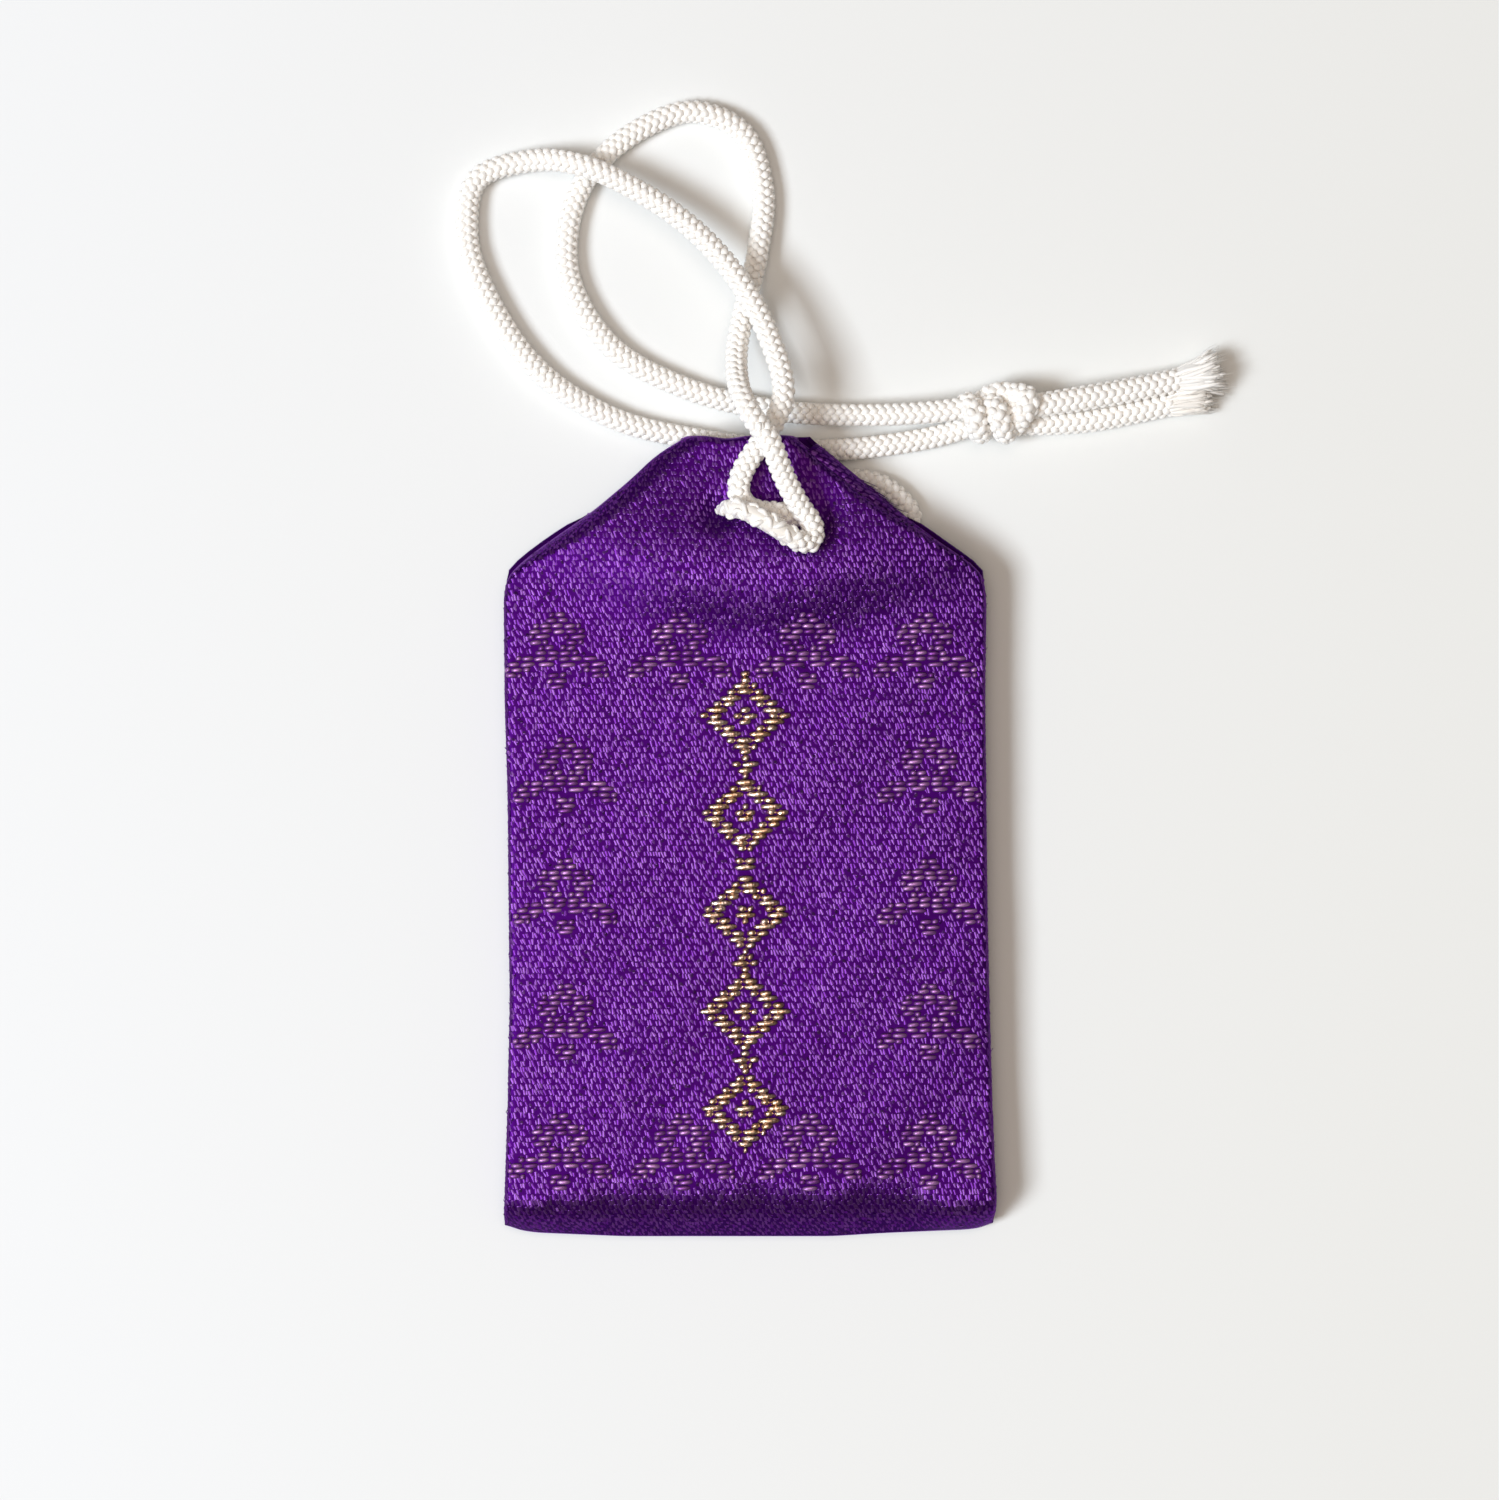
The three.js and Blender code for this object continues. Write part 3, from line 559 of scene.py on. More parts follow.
for turned in (wraps, np.array(knot["arch"])):
    route = smoothRoute(turned + knot["centre"], cordStep)
    knotParts.append(braid(route, len(route) // 2, loosened=knot["loosened"]))
knotPiece = braidPiece("stopper_knot_braid", knotParts)
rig.ride(knotPiece, "cord_loop")
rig.replaces(knotPiece, "stopper_knot")
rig.slot(knotPiece, "cord")

# Frayed ends: the yarns open into a brush of fine locks, with single filaments fanning out past their tips
fray = {
    "locks": 150, "lock": 0.185, "sides": 5, "across": 0.95, "steps": 8, "clearance": 0.03,
    "spiral": 2.4,  # angle from lock to lock, which fills the brush evenly
    "rooted": 0.5,  # how far inside the tail a lock starts
    "heart": 0.95, "heartSides": 12, "heartLines": 6,  # with finer lines than a lock
    "filaments": 2, "filament": 0.026, "filamentSides": 3,  # beside each lock
}
tufts = {  # the lower one has painted shade, a creamier tone
    "upper": {"long": 3.7, "fan": 0.3, "clean": 1.0},
    "lower": {"long": 3.2, "fan": 0.15, "clean": 0.62},
}


# Each strand of a brush: its line, thickness, sides, and the place and fineness of its marks
def brushStrands(tuft, end, heading):
    acrossEnd = unit(np.cross(heading, [0, 0, 1.0]))
    upEnd = np.cross(acrossEnd, heading)
    t = np.linspace(0, 1, fray["steps"])[:, None]
    for lock in range(-1, fray["locks"]):  # the first is the dense heart of the brush
        a = fray["spiral"] * lock + chance.uniform(-0.3, 0.3)
        r = math.sqrt(max(lock + 0.3, 0) / fray["locks"])
        outward = math.cos(a) * acrossEnd + math.sin(a) * upEnd
        reach = tuft["long"] * chance.uniform(0.88, 1.08)
        lean = tuft["fan"] * r * outward + chance.normal(0, 0.05, 3)
        curl = chance.normal(0, 0.1, 3) * np.sin(t * math.pi * chance.uniform(0.9, 2.2))
        middle = end + fray["across"] * r * outward + lean * reach * t**1.3 + curl
        middle = middle + heading * ((reach + fray["rooted"]) * t - fray["rooted"])
        body = fray["lock"] * chance.uniform(0.75, 1.15) * (0.8 + 0.45 * np.sin(math.pi * t * 0.85))
        body = body * (1 - 0.5 * t**6)
        marked = 0.5 * reach * t[:, 0] + 655 * lock
        if lock < 0:
            middle = end + heading * (0.95 * tuft["long"] * t - 0.4)
            body = (fray["heart"] + 0.87 * tuft["fan"] * tuft["long"] * t) * np.sqrt(1.001 - t**8)
            yield middle, body[:, 0], fray["heartSides"], marked, fray["heartLines"]
            continue
        yield middle, body[:, 0], fray["sides"], marked, 1
        for k in range(fray["filaments"]):
            a = chance.uniform(0, fullTurn)
            along = np.linspace(chance.uniform(0.2, 0.7), chance.uniform(0.9, 1.22), len(t))
            strand = middle + body * (math.cos(a) * acrossEnd + math.sin(a) * upEnd)
            strand = strand + chance.normal(0, 0.28, 3) * smoothStep(0.4, 1.0, t)
            line = np.column_stack([np.interp(along, t[:, 0], strand[:, axis]) for axis in range(3)])
            line = line + (heading + lean) * reach * np.maximum(along - 1, 0)[:, None]
            thick = fray["filament"] * (1.1 - 0.6 * t[:, 0])
            yield line, thick, fray["filamentSides"], marked + 13.1 * (k + 1), 1


for name, tuft in tufts.items():
    path = cordPieces["tail_" + name + "_braid"][1] / mm
    rings, yarns, depths = [], [], []
    for line, thick, sides, marked, fineness in brushStrands(tuft, path[-1], unit(path[-1] - path[-8])):
        line = line.copy()
        line[:, 2] = np.maximum(line[:, 2], np.minimum(thick, 1.1) + fray["clearance"])  # kept off the table
        rings.append(ovalRings(line, *carriedFrame(line, 0), thick, thick, sides))
        yarns.append(strandMarks(marked, sides) * [fineness, fineness, 1])
        # painted shade: a lower share gives the brush the creamier hollow colour
        depths.append(np.full_like(rings[-1], tuft["clean"]))
    made = strandPiece("tuft_" + name + "_fray", rings, yarns, depths)
    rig.ride(made, "cord_loop")
    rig.replaces(made, "tuft_" + name)
    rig.slot(made, "cord")
for piece, ends in (
    ("loop_outer_braid", ["tail_lower_braid", "tuft_lower_fray", "stopper_knot_braid"]),
    ("loop_inner_braid", ["tail_upper_braid", "tuft_upper_fray"]),
):
    made, path = cordPieces[piece]
    length = float(np.linalg.norm(np.diff(path, axis=0), axis=1).sum())
    print("cord", piece, "is", round(length * 1000, 1), "mm long")
    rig.cord(
        made, exit=path[0], length=length, diameter=cordMake["diameter"] * mm, far_end="knot",
        stiffness="limp", lay="loose", path=path[::4], with_pieces=ends,
    )
print("knot and frayed ends are tied")

# Satin brocade: a dark dyed weft ground, of which only glimpses show between the bright warp floats
satinGround, tree, shade = newMaterial("dyed filament ground weave")
cloth = addNode(tree, "Attribute", attribute_name="weave")
# Weft threads 0.28 mm apart
threads = addNode(tree, "Mapping", {"Vector": cloth.outputs["Vector"], "Scale": (1.2, 3.6, 1.0)})
lines = addNode(tree, "TexNoise", {"Vector": threads.outputs["Vector"], "Scale": 1.0, "Detail": 2.0})
base = addNode(tree, "Mix", {mixBy: lines.outputs["Fac"], mixA: "#320550", mixB: "#3e0861"}, data_type="RGBA")
bump = addNode(tree, "Bump", {"Height": lines.outputs["Fac"], "Strength": 0.3, "Distance": 0.00004})
setInputs(shade, {
    "Base Color": base.outputs[mixed], "Metallic": 0.75, "Roughness": 0.5, "Specular IOR Level": 0.05,
    "Specular Tint": "#5a2a78", "Sheen Weight": 0.6, "Sheen Roughness": 0.35, "Sheen Tint": "#a868d0",
    "Normal": bump.outputs["Normal"],
})

# Warp floats: untwisted filament yarn, each float a small glossy bulge. As on any fibre the shine spreads
# widely round the yarn and hardly along it, so the cloth is bright where it lies flat and deep purple where
# it tips up or down.
satin, tree, shade = newMaterial("bright filament satin")
luck = addNode(tree, "Attribute", attribute_name="luck")
across = addNode(tree, "Attribute", attribute_name="across")
split = addNode(tree, "SeparateXYZ", {"Vector": luck.outputs["Vector"]})
dye = addNode(tree, "Mix", {mixBy: split.outputs["X"], mixA: "#602884", mixB: "#774a92"}, data_type="RGBA")
setInputs(shade, {
    "Base Color": dye.outputs[mixed], "Metallic": 1.0, "Roughness": 0.5, "Anisotropic": 0.5,
    "Tangent": across.outputs["Vector"], "Specular Tint": "#955ab8", "Sheen Weight": 0.4,
    "Sheen Roughness": 0.3, "Sheen Tint": "#b884d8",
})

# Pouch outline, read off the cloth's edge: heights up the pouch with the edge's place there, and for the
# bottom the places across with the edge's height
pouch = {
    "left": [
        (-37, -23.2), (-36.2, -23.3), (-34.7, -23.2), (-25.1, -22.88), (-15.6, -22.69), (3.4, -22.88),
        (13, -23.16), (22.5, -23.25), (24, -23.1), (24.7, -22.82), (25.5, -22.15), (26.2, -21.4),
        (27.7, -19.4), (30.75, -14.92), (33.8, -11.22), (36.06, -8.85), (37, -7.4), (37.6, -6.4),
        (38.0, -5.4),
    ],
    "right": [
        (-36.8, 23.2), (-36.2, 23.5), (-34.7, 23.6), (-29.9, 23.37), (-25.1, 23.17), (-15.6, 22.9),
        (-6.1, 22.7), (13, 22.5), (22.5, 22.6), (24, 22.46), (24.7, 22.27), (25.5, 21.7), (26.2, 20.75),
        (27.7, 18.56), (30.75, 14.45), (33.8, 10.85), (35.3, 8.96), (36.8, 7.25), (37.6, 6.2), (38, 5.4),
    ],
    "bottom": [
        (-23.2, -36.9), (-22.6, -37.4), (-20.5, -37.8), (-12, -38.15), (8, -38.15),
        (12.8, -37.85), (21.2, -37.5), (22.8, -37.2), (23.5, -36.6),
    ],
    "foot": -38.0, "length": 75.9, "lip": 0.7, "cloth": 0.45, "sideRound": 0.45, "bottomRound": 5.8,
    "face": 5.5, "seam": 2.4, "seamDrop": 0.8, "seamDropOver": (-34, -37.5), "seamRiseOver": (24, 37),
}
mouth = {"y": 37.95, "dip": 0.3, "dipX": -2.0, "dipWide": 1.6}


def leftEdge(y):
    return tableCurve(pouch["left"], y, 0.8)


def rightEdge(y):
    return tableCurve(pouch["right"], y, 0.8)


def bottomEdge(x):
    return tableCurve(pouch["bottom"], x, 1.0)


def mouthEdge(x):
    return mouth["y"] - mouth["dip"] * bell(x - mouth["dipX"], mouth["dipWide"])


def heightAlong(x, share):  # from the bottom edge to the mouth at one place across
    return bottomEdge(x) + (mouthEdge(x) - bottomEdge(x)) * share


def roundOver(distance, radius):
    return np.sqrt(np.clip(1 - (1 - np.clip(distance / radius, 0, 1)) ** 2, 0, 1))


packetHead = {  # it lifts the cloth: steep at its foot, easing upwards, and falling again towards the mouth
    "x": 1.5, "y": 19.9, "bow": 0.014, "wide": 20, "lift": 2.3, "ease": 0.42, "foot": 1.1,
    "drop": 1.5, "dropOver": (3.0, 16.0),
}
dimples = [  # where the cord goes in: place, depth and half widths
    {"x": -2.9, "y": 30.8, "deep": 0.8, "wide": 1.5, "tall": 1.5},
    {"x": 6.6, "y": 30.0, "deep": 0.6, "wide": 1.7, "tall": 2.4},
]


def faceHeight(x, y):  # top of the cloth away from the edges
    head = packetHead
    band = y - (head["y"] + head["bow"] * (x - head["x"]) ** 2)
    lift = head["lift"] * (1 - np.exp(-head["ease"] * np.logaddexp(0, band / head["foot"])))
    lift = lift - head["drop"] * smoothStep(*head["dropOver"], band)
    height = pouch["face"] + bell(x - head["x"], head["wide"]) * lift
    height = height + 0.10 * np.sin(0.21 * x + 1.3) * np.sin(0.17 * y + 0.4)  # gentle swells
    height = height + 0.05 * np.sin(0.47 * x - 0.31 * y) - 0.35 * (x / 23) ** 4
    for dimple in dimples:
        sunk = bell(x - dimple["x"], dimple["wide"]) * bell(y - dimple["y"], dimple["tall"])
        height = height - dimple["deep"] * sunk
    return height


def frontEdgeInset(y):  # the right shoulder's front fold sits inside the back one
    return 1.5 * smoothStep(27.0, 33.0, y)


def noInset(y):
    return 0.0


def seamHeight(y, rise):  # where front and back meet, lower at the bottom and higher towards the mouth
    drop = pouch["seamDrop"] * smoothStep(*pouch["seamDropOver"], y)
    return pouch["seam"] - drop + rise * smoothStep(*pouch["seamRiseOver"], y)


front = {
    "rise": 1.9, "corner": 3.0, "cornerOver": (12, 23),
    "slopeOver": (24.5, 28.5), "leftSlope": 2.8, "rightSlope": 1.0,  # rounder at the shoulders
}


def frontHeight(x, y):
    slope = smoothStep(*front["slopeOver"], y)
    left = roundOver(x - leftEdge(y), pouch["sideRound"] + front["leftSlope"] * slope)
    right = roundOver(rightEdge(y) - frontEdgeInset(y) - x, pouch["sideRound"] + front["rightSlope"] * slope)
    bottomRound = pouch["bottomRound"] - front["corner"] * smoothStep(*front["cornerOver"], np.abs(x))
    bottomRound = bottomRound + 0.4 * np.sin(0.55 * x + 0.6) + 0.25 * np.sin(1.3 * x)  # the roll wavers
    rolled = 1 - (1 - np.clip((y - bottomEdge(x)) / bottomRound, 0, 1)) ** 2
    seam = seamHeight(y, front["rise"])
    z = seam + (faceHeight(x, y) - seam) * np.minimum(left, right) * rolled
    return z - pouch["lip"] * (1 - roundOver(mouthEdge(x) - y, pouch["lip"]))


back = {
    "rise": 1.0, "under": 0.1, "side": 2.4, "low": 2.6,
    "off": 0.1, "lift": 2.65, "liftOver": (17.4, 26.4),  # flat on the table, and lifted at the shoulders
}


def backHeight(x, y):
    edge = np.minimum(x - leftEdge(y), rightEdge(y) - x)
    seam = seamHeight(y, back["rise"]) - back["under"]
    lying = back["lift"] * smoothStep(*back["liftOver"], y) + back["off"]
    return seam + (lying - seam) * roundOver(edge, back["side"]) * roundOver(y - bottomEdge(x), back["low"])


# Rows of points from the bottom up, closer together where the cloth rolls over
def panelGrid(insetRight, heightAt, columns, rows):
    arc = 1 - np.cos(np.linspace(0, math.pi / 2, 10))[:-1]
    lipArc = np.cos(np.linspace(0, math.pi / 2, 6))[1:]
    low, high, lip = pouch["bottomRound"], pouch["length"], pouch["lip"]
    heights = np.r_[arc * low, np.linspace(low, high - lip, rows), high - lip * lipArc]
    lines = []
    for share in heights / high:
        left, right = leftEdge(high * share + pouch["foot"]), rightEdge(high * share + pouch["foot"])
        for settle in range(4):  # a row's ends lie higher than its middle, so each finds its own place
            leftY, rightY = heightAlong(left, share), heightAlong(right, share)
            left, right = leftEdge(leftY), rightEdge(rightY) - insetRight(rightY)
        side = min(pouch["sideRound"], (right - left) / 2.2)
        middle = np.linspace(left + side, right - side, columns)
        x = np.r_[left + arc * side, middle, right - (arc * side)[::-1]]
        y = heightAlong(x, share)
        lines.append(np.column_stack([x, y, heightAt(x, y)]))
    return np.array(lines)


def clothMarks(grid):  # millimetres across and up the cloth at each point of a grid
    rows, columns = grid.shape[:2]
    acrossSteps = np.linalg.norm(np.diff(grid, axis=1, prepend=grid[:, :1]), axis=2)
    upSteps = np.linalg.norm(np.diff(grid, axis=0, prepend=grid[:1]), axis=2)
    u, v = np.cumsum(acrossSteps, axis=1), np.cumsum(upSteps, axis=0)
    u = u - u[:, [columns // 2]] + grid[:, [columns // 2], 0]
    v = v - v[[rows // 2]] + grid[[rows // 2], :, 1]
    return np.dstack([u, v, np.zeros_like(u)]).reshape(-1, 3)


warp = {  # a three-end twill
    "yarn": 0.279, "row": 0.55, "half": 0.34, "wide": 0.126, "top": 0.012, "sunk": 0.02,
    "lean": math.radians(72), "yarnsEachSide": 95,
    "filled": 0.05,  # share of the spots under the weft that show a float all the same
    "askew": 0.2,  # share of the floats that stand askew
    "straight": (-20.4, 20.2),  # beyond these the yarns follow the outermost straight one
    "rim": 2.4,  # near the edge the yarns are counted along the turn of the cloth
    "drawnOver": (24.0, 27.5),  # the cord draws the cloth up towards the mouth here
}


def turnLength(across, up):  # length walked so far along a line of points
    return np.r_[0, np.cumsum(np.hypot(np.diff(across), np.diff(up)))]


# Each warp yarn runs straight up the panel, with a spot for every row of weft that it crosses
def panelSpots(heightAt, insetRight, rimGap):
    spots = []
    rim = warp["rim"] * (1 - np.sin(np.linspace(0, math.pi / 2, 48)))
    for m in range(-warp["yarnsEachSide"], warp["yarnsEachSide"] + 1):
        u = m * warp["yarn"]
        level = float(np.clip(u, *warp["straight"]))
        low, high = float(bottomEdge(level)) + 0.02, float(mouthEdge(level)) - 0.2
        y = low + (high - low) * np.linspace(0, 1, 900) ** 2
        walked = turnLength(y, heightAt(level, y))
        walked = walked - np.interp(0.0, y, walked)
        k = np.arange(math.ceil(walked[0] / warp["row"]), math.floor(walked[-1] / warp["row"]) + 1)
        onTop = (k - m) % 3 != 0  # under the weft at every third row, one row higher on each next yarn
        k = k[onTop | (chance.uniform(0, 1, len(k)) < warp["filled"])]
        y = np.interp(k * warp["row"], walked, y)
        edge, inward = (leftEdge(y), 1) if u < 0 else (rightEdge(y) - insetRight(y), -1)
        beyond = (edge - u) * inward + warp["rim"]
        for yAt, edgeAt, over in zip(y, edge, beyond):
            x = u
            if over > 0:
                across = edgeAt + inward * rim
                bent = turnLength(across, heightAt(across, yAt))
                if over > bent[-1] - 0.1:
                    continue
                x = float(np.interp(over, bent, across))
            spots.append((x, yAt))
    x, y = np.array(spots).T
    x = x + chance.normal(0, 0.02, len(x))
    upper = y + 0.12
    held = (y > bottomEdge(x) + 0.2 + rimGap) & (x > leftEdge(upper) + rimGap)
    held &= x < rightEdge(upper) - insetRight(upper) - rimGap
    x, y = x[held], y[held]
    nudges = ((0, 0), (0, 0.02), (0.02, 0))
    here, above, beside = (np.column_stack([x + a, y + b, heightAt(x + a, y + b)]) for a, b in nudges)
    return here, unit(beside - here), unit(above - here)


def foldSpots(grid):  # the same for a folded strip, on its own grid of points
    upwards, sideways = unit(np.gradient(grid, axis=0)), unit(np.gradient(grid, axis=1))
    k, m = np.mgrid[1 : grid.shape[0] - 1 : 2, 1 : grid.shape[1] - 1]
    onTop = (k // 2 - m) % 3 != 0
    k, m = k[onTop], m[onTop]
    return grid[k, m], sideways[k, m], upwards[k, m]


# A small slanting bulge at each spot, left out where bare says so
def warpFloats(name, found, flip, bare=None, drawn=0.0):
    spots, acrossAt, upAt = found
    if bare is not None:
        kept = ~bare(spots[:, 0], spots[:, 1])
        spots, acrossAt, upAt = spots[kept], acrossAt[kept], upAt[kept]
    count = len(spots)
    out = unit(np.cross(acrossAt, upAt)) * (-1 if flip else 1)
    lean = (warp["lean"] + chance.normal(0, 0.13, count))[:, None]
    tip = chance.normal(0, 0.05, count)
    tip = tip + (chance.uniform(0, 1, count) < warp["askew"]) * chance.normal(0, 0.25, count)
    tip = tip - drawn * smoothStep(*warp["drawnOver"], spots[:, 1])
    along = unit(np.sin(lean) * upAt - np.cos(lean) * acrossAt + tip[:, None] * out)
    out = unit(out - along * (out * along).sum(axis=1, keepdims=True))
    side = np.cross(along, out)
    twist = chance.normal(0, 0.04, (count, 1))
    out, side = out * np.cos(twist) + side * np.sin(twist), side * np.cos(twist) - out * np.sin(twist)
    spots = spots + upAt * chance.normal(0, 0.045, (count, 1)) + out * 0.012
    half = warp["half"] * chance.uniform(0.75, 1.25, count)
    top = out * (warp["top"] * chance.uniform(0.8, 1.2, count))[:, None]
    wide = side * (warp["wide"] * chance.uniform(0.85, 1.15, count))[:, None]
    sunk = out * warp["sunk"]
    points = np.zeros((count, 8, 3))  # two tips, and two rings of three points between them
    for index, t in ((0, -1.0), (7, 1.0)):
        points[:, index] = spots + along * (t * half)[:, None] - sunk
    for first, t in ((1, -0.7), (4, 0.7)):
        centre = spots + along * (t * half)[:, None]
        points[:, first] = centre - wide - sunk
        points[:, first + 1] = centre + top
        points[:, first + 2] = centre + wide - sunk
    points[..., 2] = np.maximum(points[..., 2], 0.0)  # nothing reaches below the table
    one = [(0, 1 + (k + 1) % 3, 1 + k) for k in range(3)]
    one += [(7, 4 + k, 4 + (k + 1) % 3) for k in range(3)]
    one += [(1 + k, 1 + (k + 1) % 3, 4 + (k + 1) % 3, 4 + k) for k in range(3)]
    faces = [tuple(8 * i + f for f in face) for i in range(count) for face in one]
    lucks = np.repeat(chance.uniform(0, 1, (count, 1, 3)), 8, axis=1)
    marks = {"luck": lucks.reshape(-1, 3), "across": np.repeat(side, 8, axis=0)}
    piece = meshPiece(name, points.reshape(-1, 3), faces, satin, marks)
    piece.data.polygons.foreach_set("use_smooth", [False] * (len(one) * count))
    print(name, "has", count, "floats")
    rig.ride(piece, "pouch")
    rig.slot(piece, "brocade")
    return piece


def clothPiece(name, grid, flip, thickness, node):  # a grid of points made up as cloth
    rows, columns = grid.shape[:2]
    corners = np.arange(rows * columns).reshape(rows, columns)
    faces = np.dstack([corners[:-1, :-1], corners[:-1, 1:], corners[1:, 1:], corners[1:, :-1]]).reshape(-1, 4)
    if flip:
        faces = faces[:, ::-1]
    piece = meshPiece(name, grid.reshape(-1, 3), faces, satinGround, {"weave": clothMarks(grid)})
    bpy.context.view_layer.objects.active = piece
    wall = piece.modifiers.new("cloth thickness", "SOLIDIFY")  # on the inside
    wall.thickness = thickness * mm
    wall.offset = -1
    bpy.ops.object.modifier_apply(modifier=wall.name)
    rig.ride(piece, "pouch")
    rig.replaces(piece, node)
    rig.slot(piece, "brocade")
    return piece


frontGrid = panelGrid(frontEdgeInset, frontHeight, 96, 150)
hem = [(0.12, 0.35), (0.5, 0.7), (1.2, 0.85), (2.4, 0.9)]  # the mouth's edge turns in and down
frontGrid = np.concatenate([frontGrid, [frontGrid[-1] - [0, inside, down] for inside, down in hem]])
frontPanel = clothPiece("front_panel_satin", frontGrid, False, pouch["cloth"], "front_panel")
backGrid = panelGrid(noInset, backHeight, 50, 80)
backPanel = clothPiece("back_panel_satin", backGrid, True, pouch["cloth"], "back_panel")
backWarp = warpFloats("back_panel_warp_floats", panelSpots(backHeight, noInset, 0.15), True)

# Shoulder tucks: the cloth of each shoulder folded in between front and back. A fold is a row of distances
# in from the edge and heights, and a tuck opens a little way up from the corner.
tucks = {
    "left": {
        "edge": leftEdge, "inward": 1, "area": 0.00012, "raised": 0.0,
        "fold": [
            (0.5, 3.5), (1, 3.9), (2, 4), (3, 3.8), (3.3, 3.4), (2.6, 3.1), (1.4, 3), (0.5, 2.8),
        ],
    },
    "right": {
        "edge": rightEdge, "inward": -1, "area": 0.000085, "raised": 0.45,
        "fold": [
            (2.6, 3.9), (2.2, 4.3), (1.5, 4.55), (0.8, 4.5), (0.3, 4.1), (0.05, 3.5), (0.15, 3), (0.6, 2.8),
        ],
    },
}
tuckMake = {"cloth": 0.25, "from": 24.6, "long": 12.7, "level": 2.9, "climb": 0.5, "slant": 0.8}
for sideName, tuck in tucks.items():
    folds = np.array(tuck["fold"]).T
    inwards, heights = (tableCurve(list(enumerate(row)), np.linspace(0, 7, 24), 0.45) for row in folds)
    lines = []
    for t in np.linspace(0, 1, 60):
        opened = smoothStep(0.0, 0.16, t)
        towards = unit(np.array([tuck["inward"], -tuckMake["slant"] * opened])) * (0.35 + 0.65 * opened)
        y = tuckMake["from"] + tuckMake["long"] * t
        stretch = 0.3 + 0.7 * opened + tuck["raised"] * smoothStep(0.25, 0.65, t)
        z = tuckMake["level"] + (heights - tuckMake["level"]) * stretch + tuckMake["climb"] * t
        lines.append(np.column_stack([tuck["edge"](y) + towards[0] * inwards, y + towards[1] * inwards, z]))
    grid, flip, node = np.array(lines), sideName == "left", sideName + "_shoulder_tuck"
    tuckPiece = clothPiece(node + "_satin", grid, flip, tuckMake["cloth"], node)
    tuckWarp = warpFloats(node + "_warp_floats", foldSpots(grid), flip)
    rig.sheet(
        tuckPiece, flat=(0.01, 0.018), area=tuck["area"], held="folded", rests_on=["back_panel_satin"],
        with_pieces=[tuckWarp],
    )

# Loose threads along the right shoulder's fold, where the cloth has begun to fray
loose = {
    "count": 30, "low": 31.2, "high": 33.9, "inset": 0.3, "height": 4.5, "longest": 1.9, "thickness": 0.045,
    "towards": (0.8, -0.55, -0.12), "sides": 3,
}
points, faces = [], []
t = np.linspace(0, 1, 6)[:, None]
thick = loose["thickness"] * (1.1 - 0.7 * t[:, 0])
for k in range(loose["count"]):
    y = chance.uniform(loose["low"], loose["high"])
    root = np.array([rightEdge(y) - loose["inset"], y, loose["height"]])
    sweep = unit(np.array(loose["towards"]) + chance.normal(0, 0.16, 3))
    sweep = sweep * loose["longest"] * chance.uniform(0.5, 1.0)
    line = root + sweep * t + chance.normal(0, 0.1, 3) * t**2
    faces += tubeFaces(len(t), loose["sides"], sum(len(p) for p in points))
    points.append(ovalRings(line, *carriedFrame(line, 0), thick, thick, loose["sides"]).reshape(-1, 3))
points = np.vstack(points)
looseThreads = meshPiece("right_shoulder_loose_threads", points, faces, satinGround, {"weave": points})
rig.ride(looseThreads, "pouch")
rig.slot(looseThreads, "brocade")
print("pouch is sewn")

# Figure yarns: thicker yarn lying on the satin in short rows, tied down at both ends. The weft is glossy
# rayon, light along its crown, with painted shade that darkens it between its filaments. The gilt is foil wound
# on a core, which glints almost white where it turns to the light and is brown where it turns away, with
# painted shade in brown patches along its windings.
figureYarns = {
    "twistless rayon weft": {
        "low": "#8a46a0", "high": "#d9a0de", "dark": "#47185f", "tint": "#e6b4ea", "scale": (3.0, 3.0, 0.8),
        "worn": (0.0, 1.0), "bump": 0.5, "deep": 0.00004, "metallic": 0.6, "roughness": 0.38,
    },
    "gilt foil yarn": {
        "low": "#eacbad", "high": "#fff1ec", "dark": "#b48762", "tint": "#ffffff", "scale": (1.2, 1.2, 4.5),
        "worn": (0.35, 0.6), "bump": 0.7, "deep": 0.00008, "metallic": 1.0, "roughness": 0.3,
    },
}


def figureYarn(name):
    look = figureYarns[name]
    material, tree, shade = newMaterial(name)
    yarn = addNode(tree, "Attribute", attribute_name="yarn")
    luck = addNode(tree, "Attribute", attribute_name="luck")
    split = addNode(tree, "SeparateXYZ", {"Vector": luck.outputs["Vector"]})
    along = addNode(tree, "Mapping", {"Vector": yarn.outputs["Vector"], "Scale": look["scale"]})
    lines = addNode(tree, "TexNoise", {"Vector": along.outputs["Vector"], "Scale": 1.0, "Detail": 2.0})
    height = lines.outputs["Fac"]
    low, high = look["worn"]
    # painted shade: the low places of the filament lines take the dark colour
    worn = addNode(tree, "MapRange", {"Value": height, "From Min": low, "From Max": high})
    ends = {mixA: look["low"], mixB: look["high"]}
    dye = addNode(tree, "Mix", ends | {mixBy: split.outputs["X"]}, data_type="RGBA")
    ends = {mixA: look["dark"], mixB: dye.outputs[mixed]}
    tone = addNode(tree, "Mix", ends | {mixBy: worn.outputs["Result"]}, data_type="RGBA")
    bump = addNode(tree, "Bump", {"Height": height, "Strength": look["bump"], "Distance": look["deep"]})
    setInputs(shade, {
        "Base Color": tone.outputs[mixed], "Metallic": look["metallic"], "Roughness": look["roughness"],
        "Specular Tint": look["tint"], "Normal": bump.outputs["Normal"],
    })
    return material


